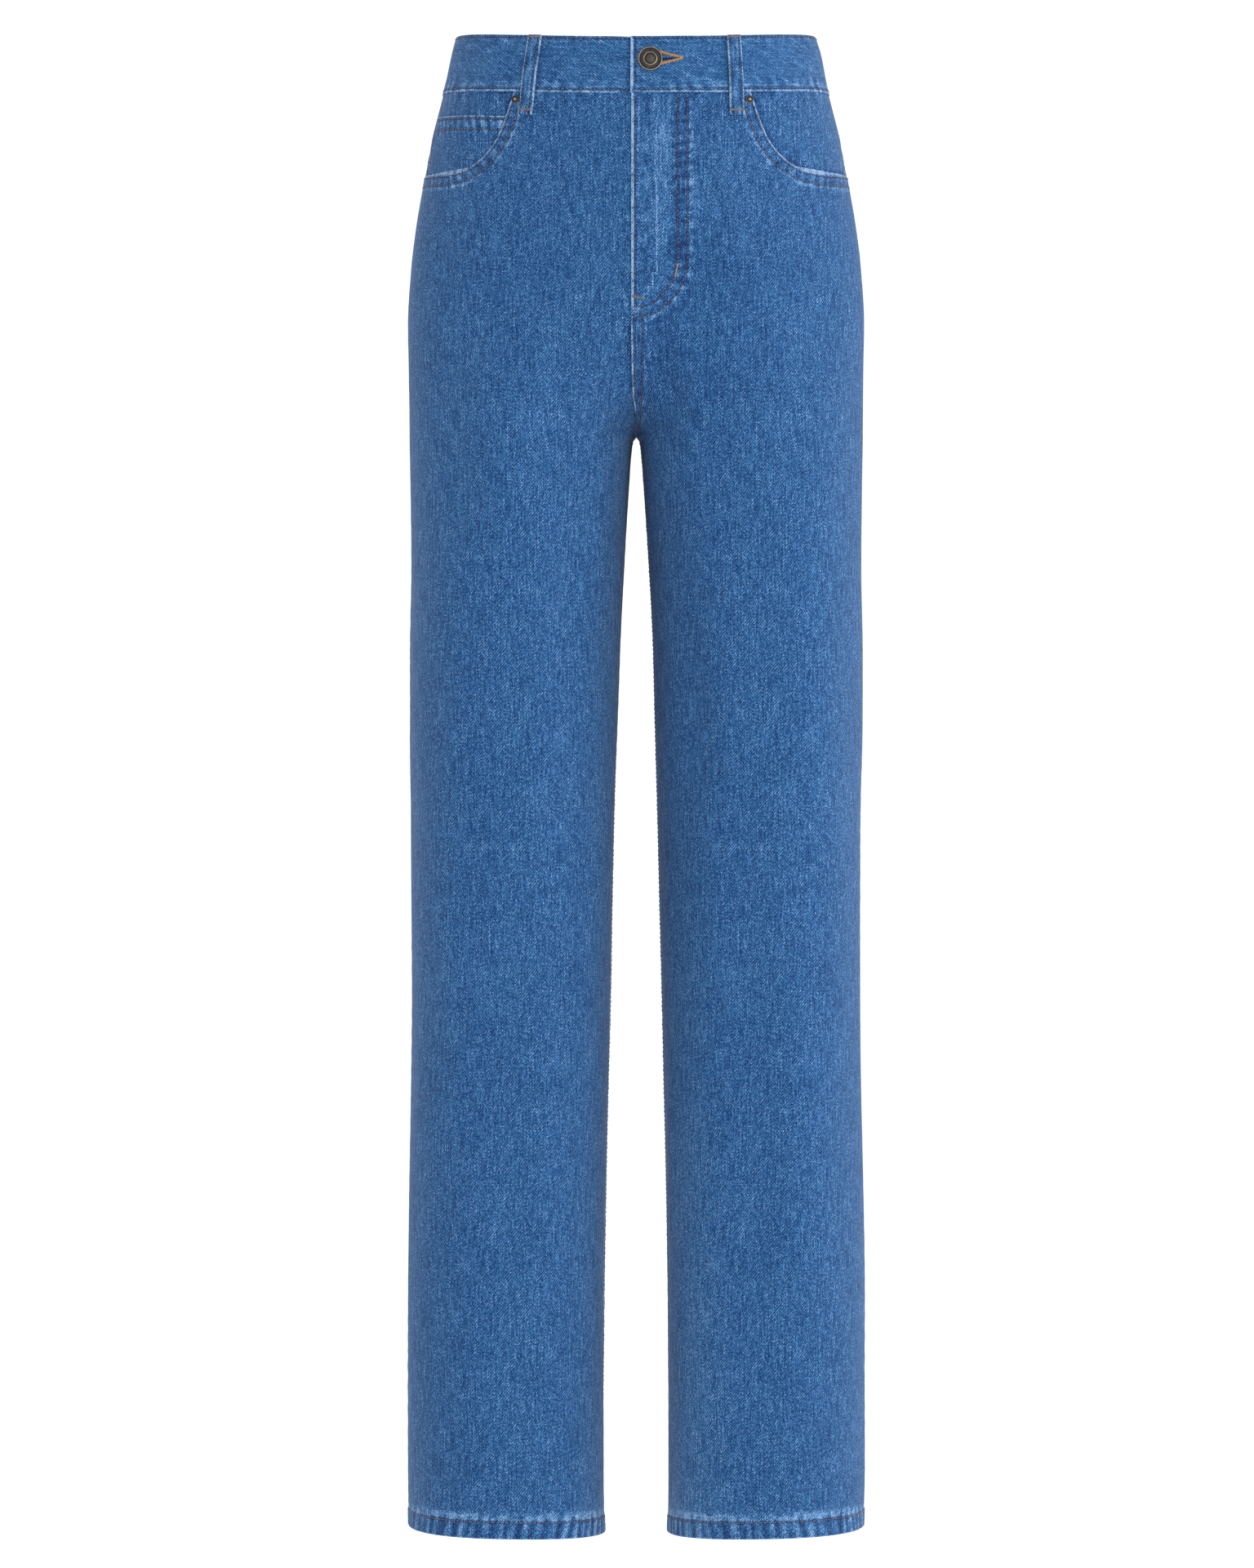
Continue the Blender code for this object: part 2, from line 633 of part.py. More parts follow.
def band_ring(side, around):
    """Eight points round the band's section at one place."""
    low = BAND_HEIGHT - SEAM_GAP / 2.0
    cut = BAND_CHAMFER
    deep = BAND_THICKNESS
    section = (
        (cut, 0.0), (low - cut, 0.0), (low, -cut), (low, cut - deep),
        (low - cut, -deep), (cut, -deep), (0.0, cut - deep), (0.0, -cut),
    )
    face = band_lift(side, around)
    points = []
    for drop, depth in section:
        base = form(around, drop)
        out = normal(around, drop)
        points.append((base + out * (face + depth)) * (side, 1.0, 1.0))
    return points


def add_waistband(name, material):
    """One strip from the underlap's end round the back to the end that laps on top."""
    middle = BAND_HEIGHT / 2.0
    under = around_at_x(-BAND_UNDERLAP, middle)
    lap = around_at_x(-BAND_TOP_LAP, middle)
    under_stops = np.linspace(under, 0.10, 8)
    right_stops = np.concatenate((under_stops, np.linspace(0.10, 0.985, 25)[1:]))
    left_stops = np.concatenate((np.linspace(0.985, 0.10, 25), np.linspace(0.10, lap, 6)[1:]))
    rings = [band_ring(RIGHT, stop) for stop in right_stops]
    rings += [band_ring(LEFT, stop) for stop in left_stops]
    return add_loft(name, rings, material)


# Belt loops

LOOP_WIDTH = 0.0100
LOOP_THICKNESS = 0.0016
LOOP_TOP = 0.0002
LOOP_BOTTOM = 0.0575
LOOP_BULGE = 0.0014
LOOP_DROPS = np.array((0.0, 0.07, 0.19, 0.33, 0.47, 0.60, 0.72, 0.82, 0.91, 1.0))
FRONT_LOOP_X = {LEFT: (0.0662, 0.0686), RIGHT: (0.0687, 0.0758)}
SIDE_BACK_LOOP = 0.74
CENTRE_BACK_LOOP = 1.0


def add_loop(name, side, top_around, bottom_around, material):
    """A strip sewn on at its two ends, a little clear of the band between them."""
    drop = LOOP_TOP + (LOOP_BOTTOM - LOOP_TOP) * LOOP_DROPS
    centre = top_around + (bottom_around - top_around) * LOOP_DROPS
    half = LOOP_WIDTH / 2.0 / speed(centre, drop)
    across = np.array((-1.0, 0.0, 1.0))
    around = centre[:, None] + half[:, None] * across
    drop = np.repeat(drop[:, None], 3, axis=1)
    on_band = 1.0 - smooth_step(BAND_HEIGHT, BAND_HEIGHT + 0.0070, drop)
    bulge = LOOP_BULGE * np.sin(math.pi * np.clip(drop / (BAND_HEIGHT + 0.0080), 0.0, 1.0))
    lift = LAYER_GAP + LOOP_THICKNESS + BAND_LIFT * on_band + bulge
    outer, inner = wall(side, around, drop, lift, LOOP_THICKNESS)
    return add_sheet(name, outer, inner, material)


# Back pockets

POCKET_CENTRE = 0.1050
POCKET_TOP = 0.1140
POCKET_LENGTH = 0.1250
POCKET_POINT = 0.0160
POCKET_TOP_HALF = 0.0710
POCKET_FOOT_HALF = 0.0620
POCKET_GAP = 0.0010


def add_back_pocket(name, side, material):
    """A five-sided patch on the seat."""
    down = np.linspace(0.0, 1.0, 9)
    across = np.linspace(-1.0, 1.0, 11)
    point = POCKET_POINT * (1.0 - np.abs(across))
    drop = POCKET_TOP + down[:, None] * (POCKET_LENGTH + point[None, :])
    around = np.empty_like(drop)
    for r, share in enumerate(down):
        half = POCKET_TOP_HALF + (POCKET_FOOT_HALF - POCKET_TOP_HALF) * share
        for c, place in enumerate(across):
            distance = POCKET_CENTRE + half * place
            around[r, c] = around_at(1.0, -distance, drop[r, c])
    lift = np.full_like(drop, POCKET_GAP + DENIM)
    outer, inner = wall(side, around, drop, lift, DENIM)
    return add_sheet(name, outer, inner, material)


# Closure behind the fly

SHIELD_EDGE = -0.0120
SHIELD_REACH = 0.0360
SHIELD_DEPTH = 0.0048
ZIP_CENTRE = 0.0120
ZIP_HALF = 0.0140
ZIP_LENGTH = 0.1280
CHAIN_HALF = 0.0026
CHAIN_PROUD = 0.0005
ZIP_DEPTH = 0.0036
TAPE = 0.0007
SLIDER_WIDTH = 0.0084
SLIDER_LENGTH = 0.0100
TAB_WIDTH = 0.0050
TAB_LENGTH = 0.0170
SLIDER_THICKNESS = 0.0014


def strip_grid(x_stops, top, bottom, rows):
    """Level rows of points at distances from the centre line, on the left half's front."""
    drops = np.linspace(top, bottom, rows)
    around = np.array([[around_at_x(x, drop) for x in x_stops] for drop in drops])
    return around, np.repeat(drops[:, None], len(x_stops), axis=1)


def add_fly_shield(name, material):
    """The underlap of the fly, sewn to the right front and lying behind the zip."""
    stops = np.array((SHIELD_EDGE, -0.007, -0.002, 0.004, 0.012, 0.020, 0.028, SHIELD_REACH))
    around, drop = strip_grid(stops, BAND_HEIGHT + SEAM_GAP, BAND_HEIGHT + FLY_LENGTH, 7)
    near = DENIM + LAYER_GAP
    depth = near + (SHIELD_DEPTH - near) * smooth_step(SHIELD_EDGE + 0.001, -0.004, stops)
    outer, inner = wall(LEFT, around, drop, np.broadcast_to(-depth, drop.shape), DENIM)
    return add_sheet(name, outer, inner, material)


def add_zip(name, material):
    """Tape and closed chain as one plain strip, thicker where the teeth meet."""
    edge = CHAIN_HALF + 0.0002
    offsets = np.array((-ZIP_HALF, -edge, -CHAIN_HALF, CHAIN_HALF, edge, ZIP_HALF))
    proud = np.array((0.0, 0.0, CHAIN_PROUD, CHAIN_PROUD, 0.0, 0.0))
    around, drop = strip_grid(
        ZIP_CENTRE + offsets, BAND_HEIGHT + 0.003, BAND_HEIGHT + ZIP_LENGTH, 7
    )
    lift = np.broadcast_to(proud - ZIP_DEPTH, drop.shape)
    outer, inner = wall(LEFT, around, drop, lift, TAPE + proud)
    return add_sheet(name, outer, inner, material)


def add_slider(name, material):
    """The slider's front plate with its pull tab lying flat below it."""
    top = BAND_HEIGHT + 0.0050
    neck = top + SLIDER_LENGTH
    drops = np.array((top, top + 0.002, neck - 0.003, neck, neck + 0.001, neck + TAB_LENGTH))
    halves = np.array((0.7, 1.0, 1.0, 0.6, 0.6, 0.6)) * SLIDER_WIDTH / 2.0
    halves[-3:] = TAB_WIDTH / 2.0
    around = np.array([
        [around_at_x(ZIP_CENTRE + half * place, drop) for place in (-1.0, 0.0, 1.0)]
        for half, drop in zip(halves, drops)
    ])
    drop = np.repeat(drops[:, None], 3, axis=1)
    lift = np.full_like(drop, CHAIN_PROUD - ZIP_DEPTH + SEAM_GAP + SLIDER_THICKNESS)
    outer, inner = wall(LEFT, around, drop, lift, SLIDER_THICKNESS)
    return add_sheet(name, outer, inner, material)


# Button and rivets

BUTTON_X = 0.0095
BUTTON_DROP = 0.0166
BUTTON_RADIUS = 0.0085
SHANK_RADIUS = 0.0022
EYE_RADIUS = 0.0027
SLIT_END_X = 0.0315
SLIT_HALF = 0.0005
CUT_MARGIN = 0.0004
TACK_RADIUS = 0.0045
RIVET_RADIUS = 0.0029
RIVET_X = {LEFT: 0.0775, RIGHT: 0.0827}
RIVET_DROP = 0.0462
# Radius and height above the cloth, from the back of the cap round to its front
BUTTON_PROFILE = (
    (SHANK_RADIUS, 0.0000), (0.0078, 0.0001), (0.0084, 0.0005), (BUTTON_RADIUS, 0.0012),
    (0.0083, 0.0019), (0.0077, 0.0021), (0.0072, 0.0017), (0.0050, 0.0017),
    (0.0046, 0.0021), (0.0041, 0.0021), (0.0037, 0.0016), (0.0018, 0.0018), (0.0, 0.0019),
)
TACK_PROFILE = (
    (0.0, -0.0010), (0.0038, -0.0010), (TACK_RADIUS, -0.0004), (TACK_RADIUS, 0.0), (0.0, 0.0),
)
RIVET_PROFILE = (
    (0.0, 0.0), (0.0026, 0.0), (RIVET_RADIUS, 0.0003), (0.0026, 0.0008), (0.0019, 0.0009),
    (0.0015, 0.0007), (0.0011, 0.0012), (0.0006, 0.0015), (0.0, 0.0016),
)


def button_place(lift):
    """Frame at the button, on the form plus a lift."""
    return place_on(LEFT, around_at_x(BUTTON_X, BUTTON_DROP), BUTTON_DROP, lift)


def add_button(name, material):
    """Cap on top of the left end, and a shank through the buttonhole's eye."""
    foot = SEAM_GAP - BAND_PROUD - (BAND_PROUD + SEAM_GAP)
    profile = ((0.0, foot), (SHANK_RADIUS, foot)) + BUTTON_PROFILE
    return add_turned(name, profile, 28, button_place(BAND_PROUD + SEAM_GAP), material)


def add_button_tack(name, material):
    """The tack's disc on the inside of the underlap."""
    place = button_place(-BAND_PROUD - BAND_THICKNESS - SEAM_GAP)
    return add_turned(name, TACK_PROFILE, 20, place, material)


def add_rivet(name, side, material):
    """Rivet beside the upper end of a pocket mouth."""
    place = place_on(side, around_at_x(RIVET_X[side], RIVET_DROP), RIVET_DROP, SEAM_GAP)
    return add_turned(name, RIVET_PROFILE, 16, place, material)


def cut_buttonhole(band):
    """Eye and slit through the band's upper layer only."""
    low = BAND_PROUD - BAND_THICKNESS - CUT_MARGIN
    high = BAND_PROUD + CUT_MARGIN
    depth = high - low
    middle = (low + high) / 2.0
    place = button_place(middle)
    bpy.ops.mesh.primitive_cylinder_add(vertices=14, radius=EYE_RADIUS, depth=depth)
    eye = bpy.context.object
    eye.name = "cutter_eye"
    eye.matrix_world = place
    slit_x = (BUTTON_X + SLIT_END_X) / 2.0
    slit_around = around_at_x(slit_x, BUTTON_DROP)
    bpy.ops.mesh.primitive_cube_add(size=1.0)
    slit = bpy.context.object
    slit.name = "cutter_slit"
    slit.data.transform(Matrix.Diagonal((SLIT_END_X - BUTTON_X, 2.0 * SLIT_HALF, depth, 1.0)))
    slit.matrix_world = place_on(LEFT, slit_around, BUTTON_DROP, middle)
    for cutter in (eye, slit):
        cutter.hide_render = True
        cutter.display_type = "WIRE"
        cut = band.modifiers.new(cutter.name, "BOOLEAN")
        cut.operation = "DIFFERENCE"
        cut.solver = "EXACT"
        cut.object = cutter


def main():
    """Build every piece."""
    for old in list(bpy.data.objects):
        bpy.data.objects.remove(old, do_unlink=True)
    denim = make_material("denim", (0.055, 0.135, 0.315), 0.9)
    band_denim = make_material("waistband_denim", (0.060, 0.145, 0.330), 0.9)
    inside = make_material("hidden_denim", (0.075, 0.150, 0.300), 0.9)
    gunmetal = make_material("antique_metal", (0.120, 0.110, 0.095), 0.45, 1.0)
    brass = make_material("zip_brass", (0.400, 0.300, 0.160), 0.40, 1.0)
    tape = make_material("zip_tape", (0.040, 0.070, 0.140), 0.9)

    for label, side in (("left", LEFT), ("right", RIGHT)):
        add_panel("front_" + label, side, *front_grid(side), denim)
        add_panel("back_" + label, side, *back_grid(), denim)
        add_panel("yoke_" + label, side, *yoke_grid(), denim)
        add_facing("pocket_facing_" + label, side, inside)
        add_back_pocket("back_pocket_" + label, side, denim)
        top_x, bottom_x = FRONT_LOOP_X[side]
        top = around_at_x(top_x, LOOP_TOP)
        bottom = around_at_x(bottom_x, LOOP_BOTTOM)
        add_loop("belt_loop_front_" + label, side, top, bottom, band_denim)
        add_loop("belt_loop_back_" + label, side, SIDE_BACK_LOOP, SIDE_BACK_LOOP, band_denim)
        add_rivet("rivet_" + label, side, gunmetal)
    add_loop("belt_loop_centre_back", LEFT, CENTRE_BACK_LOOP, CENTRE_BACK_LOOP, band_denim)
    add_coin_pocket("coin_pocket", RIGHT, denim)
    waistband = add_waistband("waistband", band_denim)
    cut_buttonhole(waistband)
    add_fly_shield("fly_shield", inside)
    add_zip("zip_chain", tape)
    add_slider("zip_slider", brass)
    add_button("button", gunmetal)
    add_button_tack("button_tack", gunmetal)


main()
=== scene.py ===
"""Dressed model of the wide leg jeans: denim, stitching, fittings and a plain studio.

Metres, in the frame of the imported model: +Z up, the front faces -Y, the wearer's left
lies toward +X. Two numbers place a point on the cloth of one half of the garment:
    around  0 at the centre front, 0.5 at the side, 1 at the centre back;
            below the crotch 0 and 1 are both the inseam
    drop    metres below the top edge of the waistband at the side
"""

import math
from dataclasses import dataclass

import bmesh
import bpy
import numpy as np
from mathutils import Matrix, Vector, kdtree


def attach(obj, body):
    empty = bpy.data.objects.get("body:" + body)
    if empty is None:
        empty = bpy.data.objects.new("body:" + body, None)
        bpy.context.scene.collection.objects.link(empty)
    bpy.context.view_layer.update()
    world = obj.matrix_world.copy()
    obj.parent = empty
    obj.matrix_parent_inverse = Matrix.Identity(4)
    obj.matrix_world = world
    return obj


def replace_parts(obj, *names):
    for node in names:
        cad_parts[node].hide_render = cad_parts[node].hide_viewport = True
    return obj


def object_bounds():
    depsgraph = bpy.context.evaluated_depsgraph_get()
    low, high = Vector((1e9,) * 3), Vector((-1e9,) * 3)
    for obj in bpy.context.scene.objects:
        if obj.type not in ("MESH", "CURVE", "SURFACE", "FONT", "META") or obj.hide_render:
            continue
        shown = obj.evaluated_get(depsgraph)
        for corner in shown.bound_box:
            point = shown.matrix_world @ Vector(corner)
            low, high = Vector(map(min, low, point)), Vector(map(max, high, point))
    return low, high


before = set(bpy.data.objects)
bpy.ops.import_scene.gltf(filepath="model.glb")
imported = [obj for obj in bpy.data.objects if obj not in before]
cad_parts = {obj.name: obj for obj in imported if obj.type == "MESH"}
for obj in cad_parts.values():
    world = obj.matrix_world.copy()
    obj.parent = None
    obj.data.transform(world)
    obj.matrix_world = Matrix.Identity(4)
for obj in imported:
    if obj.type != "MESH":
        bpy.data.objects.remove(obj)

CAD_BOX = [list(corner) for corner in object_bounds()]

bl_info = {
    "name": "Wide Leg Jeans",
    "version": (1, 0, 0),
    "blender": (4, 5, 0),
    "location": "View3D > Sidebar > Jeans",
    "description": "Dresses the packed jeans with denim, stitching, fittings and a studio",
    "category": "Object",
}

LEFT = 1.0
RIGHT = -1.0
SIDES = (("left", LEFT), ("right", RIGHT))
FRONT, BACK = -1, 1

# Driving dimensions, in metres
BAND_HEIGHT = 0.0400
BAND_MIDDLE = BAND_HEIGHT / 2.0
BAND_THICKNESS = 0.0024
CROTCH_DROP = 0.2790
HEM_DROP = 1.0392
FRONT_DIP = 0.0100
BACK_RISE = 0.0060
DIP_FADE = 0.2000
HEM_SLANT = 0.0046
DENIM = 0.0012
SEAM_GAP = 0.00008
LAYER_GAP = 0.0006
WAIST_TOP = BAND_HEIGHT / 2.0
OUTSEAM = 0.505


def table(names, *rows):
    """A table as one array for each named column."""
    return dict(zip(names.split(), np.array(rows).T))


# The body above the crotch: half its width, its reach before and behind the side line,
# and the power of its oval section (2 is an ellipse).
BODY = table(
    "drop outer front back square",
    (0.0000, 0.1252, 0.0960, 0.0960, 2.30), (0.0120, 0.1286, 0.0975, 0.0985, 2.30),
    (0.0360, 0.1337, 0.1010, 0.1040, 2.35), (0.0750, 0.1434, 0.1055, 0.1120, 2.40),
    (0.1030, 0.1486, 0.1075, 0.1185, 2.45), (0.1330, 0.1537, 0.1090, 0.1245, 2.50),
    (0.1610, 0.1571, 0.1098, 0.1290, 2.50), (0.2010, 0.1594, 0.1100, 0.1325, 2.50),
    (0.2300, 0.1589, 0.1095, 0.1330, 2.45), (0.2790, 0.1583, 0.1080, 0.1300, 2.40),
)
# The legs: distances of a leg's two edges from the centre line, and the same reaches.
# The first rows lie inside the body, which turns into them.
LEG = table(
    "drop outer inner front back square",
    (0.0000, 0.1252, 0.0000, 0.0900, 0.0900, 2.30), (0.1330, 0.1537, 0.0000, 0.0990, 0.1140, 2.30),
    (0.2010, 0.1594, 0.0000, 0.1008, 0.1210, 2.30), (0.2300, 0.1589, 0.0000, 0.1006, 0.1218, 2.30),
    (0.2790, 0.1583, 0.0000, 0.0996, 0.1195, 2.30), (0.2810, 0.1583, 0.0017, 0.0995, 0.1193, 2.30),
    (0.2869, 0.1582, 0.0029, 0.0994, 0.1188, 2.30), (0.3154, 0.1577, 0.0051, 0.0988, 0.1162, 2.30),
    (0.3726, 0.1572, 0.0086, 0.0972, 0.1116, 2.30), (0.4297, 0.1582, 0.0114, 0.0955, 0.1074, 2.25),
    (0.4869, 0.1582, 0.0131, 0.0935, 0.1035, 2.25), (0.5440, 0.1571, 0.0149, 0.0914, 0.0999, 2.20),
    (0.6583, 0.1567, 0.0177, 0.0877, 0.0936, 2.20), (0.7726, 0.1583, 0.0206, 0.0849, 0.0884, 2.20),
    (0.8869, 0.1599, 0.0226, 0.0830, 0.0850, 2.20), (1.0011, 0.1595, 0.0229, 0.0820, 0.0820, 2.20),
    (1.0392, 0.1588, 0.0222, 0.0820, 0.0820, 2.20),
)
# The centre seams leave the belly and the seat at a drop and curve under to meet at the
# crotch. A higher power keeps a seam upright for longer.
FRONT_RISE = (0.1600, 2.6)
BACK_RISE_CURVE = (0.1300, 2.2)

# The largest soft folds: a trough has a negative height. x counts from the centre line
# outward and runs from x_top at a fold's top to x_bottom at its bottom.
FOLD_COLUMNS = ("x_top", "x_bottom", "top", "bottom", "width", "height")
FOLDS = {
    (RIGHT, FRONT): (
        (0.132, 0.122, 0.190, 0.420, 0.020, -0.0030),
        (0.051, 0.043, 0.190, 0.460, 0.016, -0.0018),
        (0.100, 0.108, 0.520, 0.980, 0.018, -0.0020),
        (0.058, 0.050, 0.620, 1.020, 0.014, 0.0016),
    ),
    (LEFT, FRONT): (
        (0.036, 0.050, 0.320, 0.620, 0.014, -0.0022),
        (0.062, 0.078, 0.450, 0.960, 0.016, -0.0022),
        (0.128, 0.122, 0.200, 0.700, 0.016, 0.0018),
        (0.112, 0.120, 0.480, 1.000, 0.015, 0.0016),
    ),
    (RIGHT, BACK): (
        (0.110, 0.070, 0.250, 0.420, 0.020, -0.0035),
        (0.060, 0.076, 0.480, 0.900, 0.020, -0.0028),
        (0.116, 0.108, 0.620, 1.010, 0.018, 0.0020),
    ),
    (LEFT, BACK): (
        (0.104, 0.066, 0.250, 0.440, 0.020, -0.0035),
        (0.070, 0.058, 0.460, 0.940, 0.020, -0.0028),
        (0.112, 0.120, 0.560, 0.990, 0.018, 0.0020),
    ),
}

# Soft creases, listed as straight or slanting troughs and ridges
CREASE_COLUMNS = ("x_top", "top", "x_bottom", "bottom", "width", "height")
CREASES = {
    (LEFT, FRONT): (
        (0.0250, 0.050, 0.0245, 0.170, 0.0030, -0.0009),
        (0.0150, 0.060, 0.0140, 0.165, 0.0040, 0.0007),
        (0.0070, 0.120, 0.0090, 0.185, 0.0030, -0.0005),
        (0.0100, 0.205, 0.0500, 0.190, 0.0050, -0.0007),
        (0.0120, 0.222, 0.0620, 0.214, 0.0060, 0.0006),
        (0.0100, 0.250, 0.0700, 0.236, 0.0080, -0.0009),
        (0.0420, 0.052, 0.0540, 0.120, 0.0060, -0.0005),
        (0.0700, 0.120, 0.0560, 0.260, 0.0100, 0.0007),
        (0.1300, 0.130, 0.1120, 0.215, 0.0100, -0.0007),
        (0.0190, 0.196, 0.0170, 0.276, 0.0100, -0.0022),
        (0.0380, 0.215, 0.0360, 0.300, 0.0100, 0.0012),
        (0.0600, 0.064, 0.0600, 0.150, 0.0110, 0.0009),
        (0.0300, 0.300, 0.0310, 0.560, 0.0130, -0.0014),
        (0.0560, 0.360, 0.0520, 0.620, 0.0140, 0.0012),
        (0.0790, 0.450, 0.0770, 0.960, 0.0160, -0.0019),
        (0.1260, 0.300, 0.1240, 0.900, 0.0170, 0.0018),
        (0.0300, 0.700, 0.0340, 0.980, 0.0130, 0.0012),
    ),
    (RIGHT, FRONT): (
        (0.0080, 0.240, 0.0640, 0.222, 0.0080, -0.0009),
        (0.0060, 0.200, 0.0440, 0.186, 0.0060, 0.0005),
        (0.0300, 0.060, 0.0420, 0.150, 0.0090, 0.0006),
        (0.0560, 0.062, 0.0480, 0.130, 0.0070, -0.0005),
        (0.1380, 0.120, 0.1180, 0.200, 0.0100, -0.0007),
        (0.1230, 0.185, 0.1190, 0.345, 0.0160, -0.0018),
        (0.0520, 0.195, 0.0500, 0.305, 0.0110, -0.0014),
        (0.0860, 0.200, 0.0840, 0.420, 0.0160, 0.0014),
        (0.0430, 0.330, 0.0420, 0.430, 0.0110, -0.0016),
        (0.0240, 0.480, 0.0300, 0.760, 0.0120, 0.0014),
        (0.0830, 0.560, 0.0760, 0.880, 0.0170, -0.0016),
        (0.1300, 0.420, 0.1280, 0.720, 0.0140, 0.0014),
        (0.1080, 0.780, 0.1060, 1.000, 0.0140, 0.0012),
        (0.0130, 0.200, 0.0150, 0.276, 0.0100, -0.0020),
    ),
    (RIGHT, BACK): (
        (0.0160, 0.262, 0.0900, 0.330, 0.0100, -0.0022),
        (0.0250, 0.300, 0.1080, 0.372, 0.0120, 0.0016),
        (0.0300, 0.352, 0.1200, 0.440, 0.0140, -0.0018),
        (0.0460, 0.570, 0.1000, 0.556, 0.0110, -0.0011),
        (0.1000, 0.640, 0.0900, 0.900, 0.0120, -0.0012),
        (0.0360, 0.700, 0.0320, 0.960, 0.0110, 0.0010),
        (0.0200, 0.084, 0.1000, 0.078, 0.0070, -0.0005),
    ),
    (LEFT, BACK): (
        (0.0160, 0.258, 0.0940, 0.318, 0.0100, -0.0020),
        (0.0250, 0.296, 0.1120, 0.380, 0.0120, 0.0018),
        (0.0280, 0.340, 0.1160, 0.430, 0.0140, -0.0017),
        (0.0400, 0.560, 0.0900, 0.540, 0.0110, -0.0010),
        (0.0600, 0.596, 0.1240, 0.572, 0.0110, 0.0008),
        (0.0460, 0.660, 0.0520, 0.920, 0.0120, -0.0012),
        (0.0920, 0.700, 0.0960, 0.980, 0.0120, 0.0010),
        (0.0200, 0.080, 0.1100, 0.074, 0.0070, -0.0005),
    ),
}

# Front pocket mouth, drafted from the corner of the side seam and the waistband:
# how far it lies from the side seam along the cloth, and how far below the band
MOUTH = table(
    "from_side below_band",
    (0.1105, 0.0000), (0.1105, 0.0185), (0.1095, 0.0310), (0.1055, 0.0420), (0.0970, 0.0515),
    (0.0855, 0.0573), (0.0680, 0.0592), (0.0300, 0.0583), (0.0000, 0.0570),
)
MOUTH_WIDTH = {LEFT: 1.027, RIGHT: 0.973}
MOUTH_LEAD = 0.0120
MOUTH_ROWS = (0.0017, 0.0080)

# Yoke seam, below the waistband
YOKE_AT_SIDE = 0.0320
YOKE_AT_BACK = 0.0620
YOKE_ROW_SPAN = 0.0450

HEM_HEIGHT = 0.0120
HEM_ROLL = 0.0006
HEM_THICKNESS = 0.0026
HEM_ROW = 0.0114

# Fly: the wearer's left front laps over the right one and the zip
LAP = 0.0035
LAP_COLUMN = 0.0045
LAP_FLANK = 0.0160
LAP_RISE_GONE = 0.2600
LAP_REACH_FADE = (0.2550, 0.2720)
FLY_LENGTH = 0.1450
FLY_ROW = 0.0028
FLY_TURN = 0.1620
FLY_FOOT = 0.2005
FLY_WIDTH = 0.0317
FLY_HALF = 0.0034
# Bars of the fly: their two ends in flat places
TURN_BAR = ((FLY_WIDTH - FLY_HALF, FLY_TURN + 0.0042),
            (FLY_WIDTH - FLY_HALF - 0.0020, FLY_TURN + 0.0134))
FOOT_BAR = ((0.0008 - LAP, 0.1885), (0.0052, 0.1905))
FELL_ROWS = (0.0022, 0.0083)
LEAD_END = 0.1750

FACING_MARGIN = 0.0120
FACING_GAP = 0.0004
FACING_LEVEL = (0.0060, 0.0280)
COIN_TOP = 0.0180
COIN_SIDE = 0.0300
COIN_CLEARANCE = -0.0015
COIN_ROWS = (0.0022, 0.0098)
COIN_SIDE_ROW = 0.0017
COIN_ROW_SPAN = 0.0350
# The coin pocket's gap over the facing, and how and how far it sinks under the mouth
COIN_GAP = 0.0001
COIN_UNDER = (-0.0005, 0.0030)
COIN_SINK = 0.0014

BAND_LIFT = 0.0005
BAND_TOP_LAP = 0.0039
BAND_UNDERLAP = 0.0300
BAND_PROUD = 0.0016
BAND_ROW = 0.0018
BAND_END_ROW = 0.0030
BAND_LIP = 0.0007
LOOP_WIDTH = 0.0100
LOOP_THICKNESS = 0.0016
LOOP_TOP = 0.0002
LOOP_BOTTOM = 0.0575
LOOP_BULGE = 0.0014
LOOP_ROW = 0.0018
LOOP_FOOT = 0.0010
FRONT_LOOP_X = {LEFT: (0.0662, 0.0686), RIGHT: (0.0687, 0.0758)}
SIDE_BACK_LOOP = 0.74
CENTRE_BACK_LOOP = 1.0

# Back pockets, and the double rows of the back
POCKET_CENTRE = 0.1050
POCKET_TOP = 0.1140
POCKET_LENGTH = 0.1250
POCKET_POINT = 0.0160
POCKET_TOP_HALF = 0.0710
POCKET_FOOT_HALF = 0.0620
POCKET_GAP = 0.0010
PATCH_ROWS = (0.0017, 0.0080)
PATCH_HEM_ROWS = (0.0110, 0.0170)
DOUBLE_ROWS = (0.0018, 0.0080)
# A row or a seam this far away isn't there
FAR = 1.0
NO_ROWS = (FAR, FAR)

SHIELD_EDGE = -0.0120
SHIELD_REACH = 0.0360
SHIELD_DEPTH = 0.0048
ZIP_CENTRE = 0.0120
ZIP_EDGES = (-0.0020, 0.0260)
ZIP_LENGTH = 0.1280
ZIP_DEPTH = 0.0036
CHAIN_PROUD = 0.0005
TAPE = 0.0007
TOOTH = (0.0036, 0.0009, 0.0012)
TOOTH_PITCH = 0.0014
SLIDER_WIDTH = 0.0084
SLIDER_LENGTH = 0.0100
TAB_WIDTH = 0.0050
TAB_LENGTH = 0.0170
SLIDER_PLATE = 0.0008

BUTTON_X = 0.0095
BUTTON_DROP = 0.0166
EYE_RADIUS = 0.0027
SLIT_END_X = 0.0285
SLIT_HALF = 0.0009
HOLE_START = 0.0150
HOLE_END = 0.0312
RIVET_X = {LEFT: 0.0775, RIGHT: 0.0827}
RIVET_DROP = 0.0462


# Form


def pair(first, second):
    """Two values or arrays as float arrays of one shape."""
    return np.broadcast_arrays(np.asarray(first, float), np.asarray(second, float))


